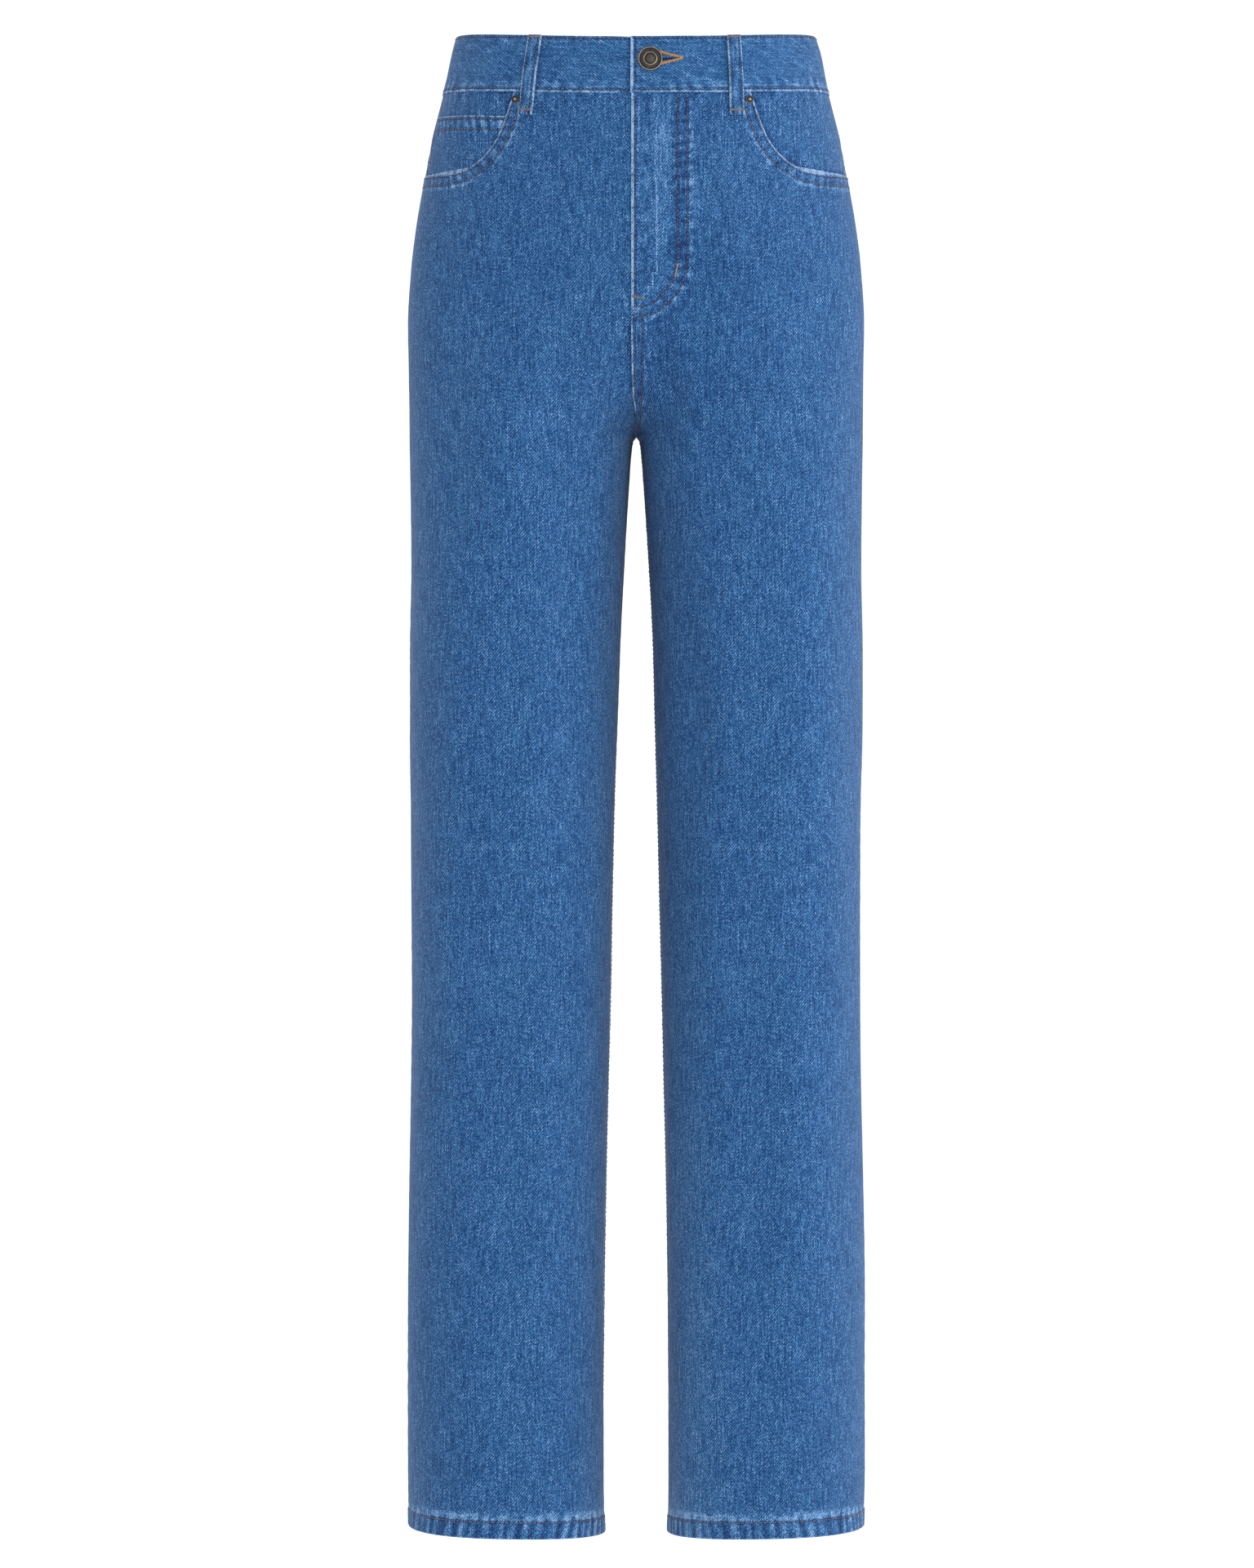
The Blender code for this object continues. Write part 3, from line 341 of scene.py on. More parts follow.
def smooth_step(low, high, value):
    """0 below low, 1 above high, and a soft S between them."""
    share = np.clip((value - low) / (high - low), 0.0, 1.0)
    return share * share * (3.0 - 2.0 * share)


def window(value, start, full, wane, end):
    """0 up to start, 1 between full and wane, and 0 again from end on."""
    return smooth_step(start, full, value) * (1.0 - smooth_step(wane, end, value))


def smooth_curve(knots, heights, value):
    """A curve through the knots with no overshoot between level neighbours."""
    steps = np.diff(knots)
    slopes = np.diff(heights) / steps
    before, after = slopes[:-1], slopes[1:]
    same_way = before * after > 0.0
    total = np.where(same_way, before + after, 1.0)
    inner = np.where(same_way, 2.0 * before * after / total, 0.0)
    tangents = np.concatenate((slopes[:1], inner, slopes[-1:]))
    value = np.clip(value, knots[0], knots[-1])
    at = np.clip(np.searchsorted(knots, value, side="right") - 1, 0, len(steps) - 1)
    span = steps[at]
    share = (value - knots[at]) / span
    rest = 1.0 - share
    return (
        heights[at] * rest * rest * (1.0 + 2.0 * share)
        + heights[at + 1] * share * share * (3.0 - 2.0 * share)
        + tangents[at] * span * share * rest * rest
        - tangents[at + 1] * span * share * share * rest
    )


def section(rows, names, drop):
    """Named values of a table of sections at any drop."""
    return [smooth_curve(rows["drop"], rows[name], drop) for name in names.split()]


def oval_reach(turn, reach, front, back, square):
    """Distance from an oval's centre to its edge, in the direction of an angle."""
    depth = np.where(np.sin(turn) < 0.0, front, back)
    size = (np.abs(np.cos(turn)) / reach) ** square
    size = size + (np.abs(np.sin(turn)) / depth) ** square
    return size ** (-1.0 / square)


def body_reach(turn, centre, outer, front, back, square):
    """The same for the body's oval, measured from the middle of a leg."""
    near = np.zeros_like(turn)
    far = np.full_like(turn, 2.5) * outer
    for _ in range(24):
        middle = (near + far) / 2.0
        x = centre + middle * np.cos(turn)
        y = middle * np.sin(turn)
        depth = np.where(y < 0.0, front, back)
        inside = (np.abs(x) / outer) ** square + (np.abs(y) / depth) ** square < 1.0
        near = np.where(inside, middle, near)
        far = np.where(inside, far, middle)
    return (near + far) / 2.0


def rise_left(drop, bend, power):
    """Share of its reach that a centre seam still has: 1 above its bend, 0 at the crotch."""
    share = np.clip((drop - bend) / (CROTCH_DROP - bend), 0.0, 1.0)
    return np.sqrt(1.0 - share ** power)


def form(around, drop):
    """Outer face of the wearer's left half. Past a centre seam it is mirrored, and
    past the inseam it goes on round the leg."""
    around, drop = pair(around, drop)
    in_leg = drop >= CROTCH_DROP
    folded = np.where(around < 0.0, -around, np.where(around > 1.0, 2.0 - around, around))
    mirror = np.where((folded != around) & ~in_leg, -1.0, 1.0)
    share = np.where(in_leg, np.mod(around, 1.0), folded)
    body = section(BODY, "outer front back square", drop)
    leg_outer, leg_inner, *leg = section(LEG, "outer inner front back square", drop)
    # Only the cloth beside the inseam opens at once; the rest of a leg does so slowly
    away = smooth_step(0.02, 0.15, np.minimum(share, 1.0 - share))
    leg_inner = leg_inner * (1.0 - away * (1.0 - smooth_step(-0.010, 0.060, drop - CROTCH_DROP)))
    centre = (leg_outer + leg_inner) / 2.0
    leg = [(leg_outer - leg_inner) / 2.0] + leg
    # Where each centre seam stands at this drop, seen from the middle of the leg
    front_y = body[1] * rise_left(drop, *FRONT_RISE)
    back_y = body[2] * rise_left(drop, *BACK_RISE_CURVE)
    front_turn = np.arctan2(front_y, centre) - math.pi
    back_turn = math.pi - np.arctan2(back_y, centre)
    turn = np.where(share < 0.5, front_turn * (1.0 - 2.0 * share), back_turn * (2.0 * share - 1.0))
    # The body turns into the legs just as far as brings its edge to those seams
    parts = []
    for seam_turn, seam_y in ((front_turn, front_y), (back_turn, back_y)):
        wide = body_reach(seam_turn, centre, *body)
        slim = oval_reach(seam_turn, *leg)
        parts.append((wide - np.hypot(centre, seam_y)) / np.maximum(wide - slim, 1e-6))
    exact = parts[0] + (parts[1] - parts[0]) * smooth_step(-1.2, 1.2, turn)
    exact = np.clip(exact, 0.0, 1.0)
    end_turn = np.where(turn < 0.0, front_turn, back_turn)
    nearness = smooth_step(0.45, 1.0, turn / end_turn)
    mix = smooth_step(0.0, 1.0, exact) * (1.0 - nearness) + exact * nearness
    mix = np.where(in_leg, 1.0, mix)
    reach = (1.0 - mix) * body_reach(turn, centre, *body) + mix * oval_reach(turn, *leg)
    x = np.maximum(centre + reach * np.cos(turn), 0.0)
    dip = FRONT_DIP * (1.0 - smooth_step(0.0, 0.5, share))
    dip = dip - BACK_RISE * smooth_step(0.5, 1.0, share)
    dip = dip * (1.0 - smooth_step(0.0, DIP_FADE, drop))
    slant = HEM_SLANT * (0.5 + 0.5 * np.cos(2.0 * math.pi * share)) ** 3
    slant = slant * smooth_step(0.75 * HEM_DROP, HEM_DROP, drop)
    z = WAIST_TOP - drop - dip - slant
    return np.stack((mirror * (x + SEAM_GAP / 2.0), reach * np.sin(turn), z), axis=-1)


def normal(around, drop):
    """Outward direction of the form."""
    around, drop = pair(around, drop)
    step_around, step_drop = 0.002, 0.0008
    near_crotch = np.abs(drop - CROTCH_DROP) < 2.0 * step_drop
    at = np.where(near_crotch, CROTCH_DROP + 2.0 * step_drop, drop)
    down = form(around, at + step_drop) - form(around, at - step_drop)
    onward = form(around + step_around, at) - form(around - step_around, at)
    across = np.cross(down, onward)
    across = across / np.linalg.norm(across, axis=-1, keepdims=True)
    at_seam = np.minimum(around, 1.0 - around) < 0.004
    corner = np.array((-0.5, 0.0, -0.5)) * math.sqrt(2.0)
    return np.where((near_crotch & at_seam)[..., None], corner, across)


def speed(around, drop):
    """Metres of cloth for one unit of around."""
    step = 0.002
    move = form(around + step, drop) - form(around - step, drop)
    return np.linalg.norm(move, axis=-1) / (2.0 * step)


def around_at_x(x, drop):
    """The place on the front at a distance from the centre line."""
    stops = np.linspace(-0.2, OUTSEAM, 121)
    return float(np.interp(x, form(stops, drop)[:, 0], stops))


def hand(side):
    """Mirrors points of the left half for the wearer's right."""
    return np.array((side, 1.0, 1.0))


# Relief: folds, creases, ripples and puckers


def scatter(cells, seed):
    """Steady values from 0 to 1, one for each whole number."""
    return np.mod(np.sin(cells * 127.1 + seed * 311.7) * 43758.5453, 1.0)


def cell_of(value):
    """The whole number below a value, and a soft share of the way to the next."""
    cell = np.floor(value)
    share = value - cell
    return cell, share * share * (3.0 - 2.0 * share)


def ripple(value, seed):
    """Uneven waves from -1 to 1, about one for each unit of the value."""
    cell, share = cell_of(value)
    low, high = scatter(cell, seed), scatter(cell + 1.0, seed)
    return 2.0 * (low + (high - low) * share) - 1.0


def ripple_field(x, y, seed):
    """The same over a surface."""
    row, share = cell_of(y)
    near = ripple(x + 17.3 * scatter(row, seed), seed + 1.0)
    far = ripple(x + 17.3 * scatter(row + 1.0, seed), seed + 1.0)
    return near + (far - near) * share


def rows_of(side, names, rows):
    """The rows of a table that belong to one side, by the names of its columns."""
    return [dict(zip(names, row), face=face) for face in (FRONT, BACK) for row in rows[side, face]]


def fold_height(side, points):
    """Rise of the soft folds at points of the left half of the form."""
    total = np.zeros(points.shape[:-1])
    x, drop = points[..., 0], WAIST_TOP - points[..., 2]
    for fold in rows_of(side, FOLD_COLUMNS, FOLDS):
        share = np.clip((drop - fold["top"]) / (fold["bottom"] - fold["top"]), 0.0, 1.0)
        centre = fold["x_top"] + (fold["x_bottom"] - fold["x_top"]) * share
        fade = np.sin(math.pi * share) ** 2
        flank = smooth_step(0.010, 0.040, fold["face"] * points[..., 1])
        total += fold["height"] * fade * flank * np.exp(-((x - centre) / fold["width"]) ** 2)
    return total


def crease_height(side, points):
    """Rise of the listed creases."""
    total = np.zeros(points.shape[:-1])
    x, drop = points[..., 0], WAIST_TOP - points[..., 2]
    for line in rows_of(side, CREASE_COLUMNS, CREASES):
        along_x, along_drop = line["x_bottom"] - line["x_top"], line["bottom"] - line["top"]
        length = math.hypot(along_x, along_drop)
        from_x, from_drop = x - line["x_top"], drop - line["top"]
        share = (from_x * along_x + from_drop * along_drop) / length ** 2
        off = (from_x * along_drop - from_drop * along_x) / length
        off = off + 0.5 * line["width"] * np.sin(2.0 * math.pi * share + 9.0 * line["x_top"])
        flank = smooth_step(0.008, 0.030, line["face"] * points[..., 1])
        swell = window(share, -0.10, 0.30, 0.70, 1.10) * flank
        total += line["height"] * swell * np.exp(-(off / line["width"]) ** 2)
    return total


def sway_height(side, points):
    """Very soft unevenness of cloth that hangs free."""
    x, drop = points[..., 0], WAIST_TOP - points[..., 2]
    round_leg = np.arctan2(points[..., 1], x - 0.09)
    wide = ripple_field(2.6 * round_leg + 7.0 * side, 7.0 * drop, 3.0 + side)
    slim = ripple_field(5.5 * round_leg + 3.0 * side, 15.0 * drop, 8.0 + side)
    return smooth_step(0.10, 0.35, drop) * (0.0007 * wide + 0.00025 * slim)


class Face:
    """The outer face of one piece of cloth, as a rise above the form."""

    def __init__(self, side, rise, soft=True):
        self.side = side
        self.rise = rise
        self.soft = soft

    def place(self, around, drop, proud=0.0):
        """Points and outward directions at places on the cloth."""
        around, drop = pair(around, drop)
        base = form(around, drop)
        out = normal(around, drop)
        height = fold_height(self.side, base) + self.rise(around, drop) + proud
        if self.soft:
            height = height + crease_height(self.side, base) + sway_height(self.side, base)
        return (base + out * height[..., None]) * hand(self.side), out * hand(self.side)


def edge_roll(distance, radius=0.0008, depth=0.0005):
    """How far the face turns down at a folded edge."""
    share = np.clip(1.0 - distance / radius, 0.0, 1.0)
    return -depth * (1.0 - np.sqrt(1.0 - share * share))


# Shells

NEAR_EDGE = np.array((0.0, 0.00015, 0.0004, 0.0008, 0.0016, 0.0028, 0.0044, 0.0064))


def edge_shares(width, count):
    """Places across rows of some widths, in shares, close together at both ends. count
    is the number between those."""
    width = np.asarray(width, float)[:, None]
    spread = np.linspace(0.0, 1.0, count + 2)[1:-1]
    middle = NEAR_EDGE[-1] + (width - NEAR_EDGE[-1] - NEAR_EDGE[-1]) * spread
    first = np.broadcast_to(NEAR_EDGE, (len(width), len(NEAR_EDGE)))
    return np.concatenate((first, middle, width - NEAR_EDGE[::-1]), axis=1) / width


def line_shares(width, count):
    """The same across one width, count places in all."""
    return edge_shares((width,), count - 2 * len(NEAR_EDGE))[0]


def lengths_along(points):
    """Length of a path up to each of its points."""
    steps = np.linalg.norm(np.diff(points, axis=0), axis=1)
    return np.concatenate(((0.0,), np.cumsum(steps)))


def every_other(count):
    """0, 2, 4 and so on, always with the last."""
    stops = list(range(0, count, 2))
    return stops if stops[-1] == count - 1 else stops + [count - 1]


def triple(*values):
    """Three values for every point, as a mark holds them."""
    return np.stack(np.broadcast_arrays(*values), axis=-1)


def add_mark(mesh, label, values):
    """Writes a mark of three numbers for every point of a mesh."""
    mark = mesh.attributes.new(label, "FLOAT_VECTOR", "POINT")
    mark.data.foreach_set("vector", values.astype(np.float32).ravel())


def add_mesh(name, points, faces, material, plan=None, marks=()):
    """A closed smooth mesh, with its own map in metres and its marks for the finish."""
    mesh = bpy.data.meshes.new(name)
    mesh.from_pydata(points.tolist(), [], faces)
    bm = bmesh.new()
    bm.from_mesh(mesh)
    bmesh.ops.recalc_face_normals(bm, faces=bm.faces)
    bm.to_mesh(mesh)
    bm.free()
    mesh.shade_smooth()
    if plan is not None:
        corners = np.empty(len(mesh.loops), dtype=np.int32)
        mesh.loops.foreach_get("vertex_index", corners)
        layer = mesh.uv_layers.new(name="cloth")
        layer.uv.foreach_set("vector", plan[corners].astype(np.float32).ravel())
    for label, values in marks:
        add_mark(mesh, label, values)
    mesh.materials.append(material)
    piece = bpy.data.objects.new(name, mesh)
    bpy.context.scene.collection.objects.link(piece)
    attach(piece, "root")
    return piece


def add_shell(name, outer, inner, plan, marks, material):
    """A wall between a fine outer grid and an inner one with every other point of it.
    marks holds the seam, rows and tone values of the outer grid."""
    rows, columns = outer.shape[:2]
    keep_r, keep_c = every_other(rows), every_other(columns)
    pick = np.ix_(keep_r, keep_c)
    near = np.arange(rows * columns).reshape(rows, columns)
    far = near.size + np.arange(len(keep_r) * len(keep_c)).reshape(len(keep_r), len(keep_c))
    faces = []
    for grid in (near, far):
        cells = (grid[:-1, :-1], grid[1:, :-1], grid[1:, 1:], grid[:-1, 1:])
        faces += np.stack(cells, axis=-1).reshape(-1, 4).tolist()
    for fine, coarse, keep in ((near, far, keep_c), (near.T, far.T, keep_r)):
        for i, (start, end) in enumerate(zip(keep[:-1], keep[1:])):
            for at in (0, -1):
                edge = fine[at, start:end + 1].tolist()
                faces.append(edge + [int(coarse[at, i + 1]), int(coarse[at, i])])

    def both(first, second):
        """Values of the outer points and then of the inner ones."""
        size = first.shape[-1]
        return np.concatenate((first.reshape(-1, size), second.reshape(-1, size)))

    flat = np.stack(plan, axis=-1)
    labelled = []
    for label, values in marks.items():
        inside = values[pick].copy()
        if label == "tone":
            inside[..., 1] = 1.0
        labelled.append((label, both(values, inside)))
    return add_mesh(name, both(outer, inner[pick]), faces, material, both(flat, flat[pick]),
                    labelled)


# Seams: each one gives the distance to it and the place along it, in metres

MARKS = ("seam", "rows", "tone")


@dataclass
class Seam:
    """One seam or finished edge of a piece, with what is sewn along it and its wear; a negative
    wear stands for painted shade.
    """

    distance: np.ndarray
    along: np.ndarray
    rows: tuple = NO_ROWS
    # Wear of the edge; a negative value paints shade instead
    wear_and_shade: float = 0.0
    pucker: float = 0.0
    reach: float = 0.010
    wave: float = 0.007
    seed: float = 0.0
    pale: tuple = (1.0, 0.001, 0.0)

    def glow(self):
        """A pale band at some distance from the seam."""
        centre, half, amount = self.pale
        return amount * np.exp(-((self.distance - centre) / half) ** 2)

    def swell(self):
        """Puckers from -1 to 1, strongest at the seam and gone past its reach."""
        near = 1.0 - smooth_step(0.7 * self.reach, 1.6 * self.reach, np.abs(self.distance))
        slanted = (self.along + 0.25 * self.distance) / self.wave
        drift = ripple(slanted * 0.45, self.seed)
        waves = 0.65 * np.sin(5.2 * slanted + 2.2 * drift)
        waves = waves + 0.5 * ripple(slanted * 2.3, self.seed + 3.0)
        return self.pucker * near * waves * (0.8 + 0.4 * ripple(slanted * 0.3, self.seed + 5.0))


def nearest_seam(seams):
    """A function that picks the value of the nearest seam at every point."""
    shape = seams[0].distance.shape
    nearest = np.stack([np.abs(seam.distance) / seam.reach for seam in seams]).argmin(axis=0)

    def chosen(value_of):
        values = [np.asarray(value_of(seam), float) for seam in seams]
        stacked = np.stack([np.broadcast_to(value, shape) for value in values])
        return np.take_along_axis(stacked, nearest[None], axis=0)[0]

    return chosen


def pucker_height(seams):
    """Puckers of the nearest seam at every point, from -1 to 1."""
    return nearest_seam(seams)(Seam.swell)


def seam_marks(seams, shade=0.0, reverse=0.0):
    """Marks of the nearest seam at every point."""
    chosen = nearest_seam(seams)
    distance = chosen(lambda seam: seam.distance)
    row_a, row_b = (distance - chosen(lambda seam: seam.rows[i]) for i in (0, 1))
    return {
        "seam": triple(chosen(lambda seam: seam.along), distance, chosen(Seam.swell)),
        "rows": triple(row_a, row_b, chosen(lambda seam: seam.wear_and_shade)),
        # The tone's first number is painted light and shade given by the panel
        "tone": triple(0.0 * distance + shade, reverse, chosen(Seam.glow)),
    }


# Flat places: metres along the cloth from the centre front, and the drop

LEVEL_STOPS = np.linspace(-0.10, 1.10, 121)
# The body closes ever faster towards the crotch, so the table is finer there
LEVEL_DROPS = np.concatenate((
    np.arange(0.0, 0.240, 0.004), np.arange(0.240, 0.270, 0.001),
    CROTCH_DROP - 0.009 * np.linspace(1.0, 0.0, 31) ** 2, np.arange(0.280, 0.340, 0.002),
    np.arange(0.340, 1.046, 0.006),
))


def level_table():
    """Lengths of cloth from the centre front to every stop, at every drop of the table."""
    points = form(LEVEL_STOPS[None, :], LEVEL_DROPS[:, None])
    lengths = np.array([lengths_along(row) for row in points])
    start = np.array([np.interp(0.0, LEVEL_STOPS, row) for row in lengths])
    return lengths - start[:, None]


LEVELS = level_table()


def level_of(around, drop):
    """Metres along the cloth from the centre front, or the front of the inseam."""
    around, drop = pair(around, drop)
    r = np.clip(np.searchsorted(LEVEL_DROPS, drop, side="right") - 1, 0, len(LEVEL_DROPS) - 2)
    down = np.clip((drop - LEVEL_DROPS[r]) / (LEVEL_DROPS[r + 1] - LEVEL_DROPS[r]), 0.0, 1.0)
    place = (around - LEVEL_STOPS[0]) / (LEVEL_STOPS[1] - LEVEL_STOPS[0])
    c = np.clip(np.floor(place).astype(int), 0, len(LEVEL_STOPS) - 2)
    on = place - c
    upper = LEVELS[r, c] * (1.0 - on) + LEVELS[r, c + 1] * on
    lower = LEVELS[r + 1, c] * (1.0 - on) + LEVELS[r + 1, c + 1] * on
    return upper * (1.0 - down) + lower * down


def around_of(level, drop):
    """The inverse of level_of."""
    level, drop = pair(level, drop)
    found = np.empty(level.size)
    for i, (want, at) in enumerate(zip(level.ravel(), drop.ravel())):
        r = min(max(np.searchsorted(LEVEL_DROPS, at, side="right") - 1, 0), len(LEVEL_DROPS) - 2)
        down = (at - LEVEL_DROPS[r]) / (LEVEL_DROPS[r + 1] - LEVEL_DROPS[r])
        row = LEVELS[r] * (1.0 - down) + LEVELS[r + 1] * down
        found[i] = np.interp(want, row, LEVEL_STOPS)
    return found.reshape(level.shape)


def side_level(drop):
    """Where the side seam lies."""
    return level_of(OUTSEAM, drop)


GRAIN_X = 0.085


def grain_line(first):
    """Level of the straight grain line at every drop of the table. first is 0 for the
    front and 1 for the back."""
    stops = np.linspace(first, OUTSEAM, 90)
    points = form(stops[None, :], LEVEL_DROPS[:, None])
    places = [float(np.interp(GRAIN_X, row, stops)) for row in points[..., 0]]
    return level_of(np.array(places), LEVEL_DROPS)


GRAIN = {FRONT: grain_line(0.0), BACK: grain_line(1.0)}


def across_grain(face, around, drop):
    """Metres across the cloth from the straight grain line of a front or a back."""
    return level_of(around, drop) - np.interp(drop, LEVEL_DROPS, GRAIN[face])


def path_distance(level, drop, path):
    """Distance from flat places to a flat path, and the place along the path."""
    best = np.full(level.shape, 1e9)
    along = np.zeros(level.shape)
    start = 0.0
    for (a, b), (c, d) in zip(path[:-1], path[1:]):
        length = math.hypot(c - a, d - b)
        share = ((level - a) * (c - a) + (drop - b) * (d - b)) / length ** 2
        share = np.clip(share, 0.0, 1.0)
        gap = np.hypot(level - a - share * (c - a), drop - b - share * (d - b))
        nearer = gap < best
        best = np.where(nearer, gap, best)
        along = np.where(nearer, start + share * length, along)
        start += length
    return best, along


def offset_path(path, distance):
    """A flat path moved sideways, to the right of its direction where distance is positive."""
    step = np.gradient(path, axis=0)
    step = step / np.linalg.norm(step, axis=1, keepdims=True)
    return path + distance * np.stack((-step[:, 1], step[:, 0]), axis=1)


# Pocket mouth


def mouth_path(side, count=60):
    """The mouth from the waistband to the side seam, in flat places."""
    reach, depth = MOUTH_WIDTH[side] * MOUTH["from_side"], MOUTH["below_band"]
    knots = lengths_along(np.stack((reach, depth), axis=1))
    stops = np.linspace(0.0, knots[-1], count)
    drop = BAND_HEIGHT + smooth_curve(knots, depth, stops)
    level = side_level(drop) - smooth_curve(knots, reach, stops)
    return np.stack((level, drop), axis=1)


def mouth_gap(side, around, drop):
    """Distance outside the pocket mouth, on the front panel; negative in the opening."""
    path = mouth_path(side)
    level = level_of(around, drop)
    gap, along = path_distance(level, drop, path)
    edge = np.interp(level, path[:, 0], path[:, 1])
    inside = (level > path[:, 0].min()) & (drop < edge)
    return np.where(inside, -gap, gap), along


# Fronts


def lap_reach(side, drop):
    """How far the wearer's left front passes the centre line."""
    if side == RIGHT:
        return np.zeros_like(drop)
    return LAP * (1.0 - smooth_step(*LAP_REACH_FADE, drop))


def hem_rise(side, around, drop):
    """Rise of the turned-up hem."""
    return HEM_ROLL * hem_share(drop)


def front_rise(side, around, drop):
    """Rise of the hem, and of the left front where it lies on the right one."""
    if side == RIGHT:
        return hem_rise(side, around, drop)
    past = np.abs(level_of(around, np.minimum(drop, CROTCH_DROP - 0.002)))
    near = 1.0 - smooth_step(LAP_COLUMN - LAP, LAP_FLANK, past)
    lap = (DENIM + LAYER_GAP) * near * (1.0 - smooth_step(LAP_RISE_GONE, CROTCH_DROP, drop))
    return lap + hem_rise(side, around, drop)


def hem_share(drop):
    """1 in the turned-up hem and 0 above it."""
    top = HEM_DROP - HEM_HEIGHT
    return smooth_step(top - 0.0004, top + 0.0016, drop)


def panel_thickness(drop):
    """One layer of cloth, and the folded layers of the hem."""
    return DENIM + (HEM_THICKNESS - DENIM) * hem_share(drop)


def inner_edge(side, drop):
    """Edge of a front at the centre front and down the inseam."""
    upper = np.minimum(drop, CROTCH_DROP - 0.002)
    above = around_of(-lap_reach(side, drop), upper)
    return np.where(drop < CROTCH_DROP, above, SEAM_GAP / 2.0 / speed(0.0, drop))


def fly_path():
    """Middle of the two curved rows of the fly, from the waistband to the fly's edge."""
    turn = np.linspace(0.0, math.pi / 2.0, 15)
    level = -LAP + (FLY_WIDTH + LAP) * np.cos(turn)
    drop = FLY_TURN + (FLY_FOOT - FLY_TURN) * np.sin(turn)
    straight = np.linspace(BAND_HEIGHT, FLY_TURN, 12)[:-1]
    level = np.concatenate((np.full(len(straight), FLY_WIDTH), level))
    return np.stack((level, np.concatenate((straight, drop))), axis=1)


def front_rows(side, rows_mouth, leg_rows):
    """Rows of a front from its inner edge to the mouth or the side seam."""
    mouth_level, mouth_drop = mouth_path(side, rows_mouth).T.copy()
    mouth_around = around_of(mouth_level, mouth_drop)
    mouth_drop[0] += SEAM_GAP / 2.0
    outer_drop = np.concatenate((mouth_drop, leg_rows))
    outer_around = np.concatenate((mouth_around, np.full(len(leg_rows), OUTSEAM)))
    outer_around -= SEAM_GAP / 2.0 / speed(outer_around, outer_drop)
    top = mouth_drop[0]
    steps = np.linspace(0.0, 1.0, rows_mouth)
    lead_drop = top + (mouth_drop[-1] + MOUTH_LEAD - top) * steps
    fade = 1.0 - smooth_step(mouth_drop[-1], LEAD_END, leg_rows)
    inner_drop = np.concatenate((lead_drop, leg_rows + MOUTH_LEAD * fade))
    return inner_edge(side, inner_drop), inner_drop, outer_around, outer_drop


# Drops where the legs' wider rows begin and end
LEG_ROWS = (0.300, 1.010)


def leg_drops(start, step_top, step_leg=0.0036):
    """Drops of the rows below a start: finer on the body and at the hem."""
    body = np.arange(start, LEG_ROWS[0], step_top)
    leg = np.arange(body[-1] + step_leg, LEG_ROWS[1], step_leg)
    hem = np.arange(leg[-1] + 0.002, HEM_DROP - 0.0030, 0.0016)
    edge = HEM_DROP - NEAR_EDGE[::-1][3:]
    return np.concatenate((body, leg, hem, edge))


# Drops between which a panel's columns are eased, and how they come in and fade out
EASE_SPAN = (0.2200, 0.3100)
EASE_WINDOW = (0.2000, 0.2300, 0.3000, 0.3400)


def ease_columns(around, drop, inner):
    """Keeps a panel's columns from swinging where its centre seam turns under into the
    inseam: only the half next to the seam stretches. inner is the seam's column."""
    level, side = level_of(around, drop), side_level(drop)
    way = np.sign(level[:, inner] - side[:, inner])[:, None]
    span = np.abs(level[:, inner] - side[:, inner])[:, None]
    from_side = np.abs(level - side) / span
    row_drop = drop[:, inner]
    ends = np.interp(EASE_SPAN, row_drop, span[:, 0])
    calm = np.interp(smooth_step(*EASE_SPAN, row_drop), (0.0, 1.0), ends)[:, None]
    near = np.clip(2.0 * from_side - 1.0, 0.0, 1.0) ** 2
    eased = from_side * calm + (span - calm) * near
    share = window(drop, *EASE_WINDOW)
    moved = side + way * (from_side * span * (1.0 - share) + eased * share)
    return np.where(share > 0.0, around_of(moved, drop), around)


def front_grid(side, columns=118):
    """Places of a front's points."""
    start = mouth_path(side)[-1, 1] + 0.0022
    inner_around, inner_drop, outer_around, outer_drop = front_rows(
        side, 61, leg_drops(start, 0.0024))
    span = np.abs(level_of(outer_around, outer_drop) - level_of(inner_around, inner_drop))
    shares = edge_shares(span, columns)
    around = inner_around[:, None] + (outer_around - inner_around)[:, None] * shares
    drop = inner_drop[:, None] + (outer_drop - inner_drop)[:, None] * shares
    return ease_columns(around, drop, 0), drop


def hem_seam(around, drop, seed):
    """The turned-up hem."""
    return Seam(HEM_DROP - drop, level_of(around, drop), (HEM_ROW, FAR), wear_and_shade=0.5, pucker=1.5,
                reach=0.0125, wave=0.0078, seed=seed, pale=(0.0150, 0.0026, 0.34))


def side_seam(distance, drop, seed):
    """The side seam: pressed open, with a soft ridge on both sides, pale with wear."""
    return Seam(distance, drop, NO_ROWS, wear_and_shade=0.7, pucker=0.7, reach=0.0075, wave=0.011,
                seed=seed, pale=(0.0060, 0.0030, 0.16))


def joined_seam(distance, along, seed, pucker=0.45, wear_and_shade=0.0, wave=0.009):
    """A plain seam whose rows are on the other piece."""
    return Seam(distance, along, NO_ROWS, wear_and_shade=wear_and_shade, pucker=pucker, reach=0.006, wave=wave,
                seed=seed)


def beyond(is_there):
    """Added to a distance, this puts a seam out of reach where it isn't."""
    return np.where(is_there, 0.0, FAR)


# Painted light and shade in columns down the fly: level of the middle, half width and strength
FLY_SHADING_COLUMNS = ((0.0065, 0.0030, -0.120), (0.0175, 0.0075, 0.115), (0.0300, 0.0045, -0.170))


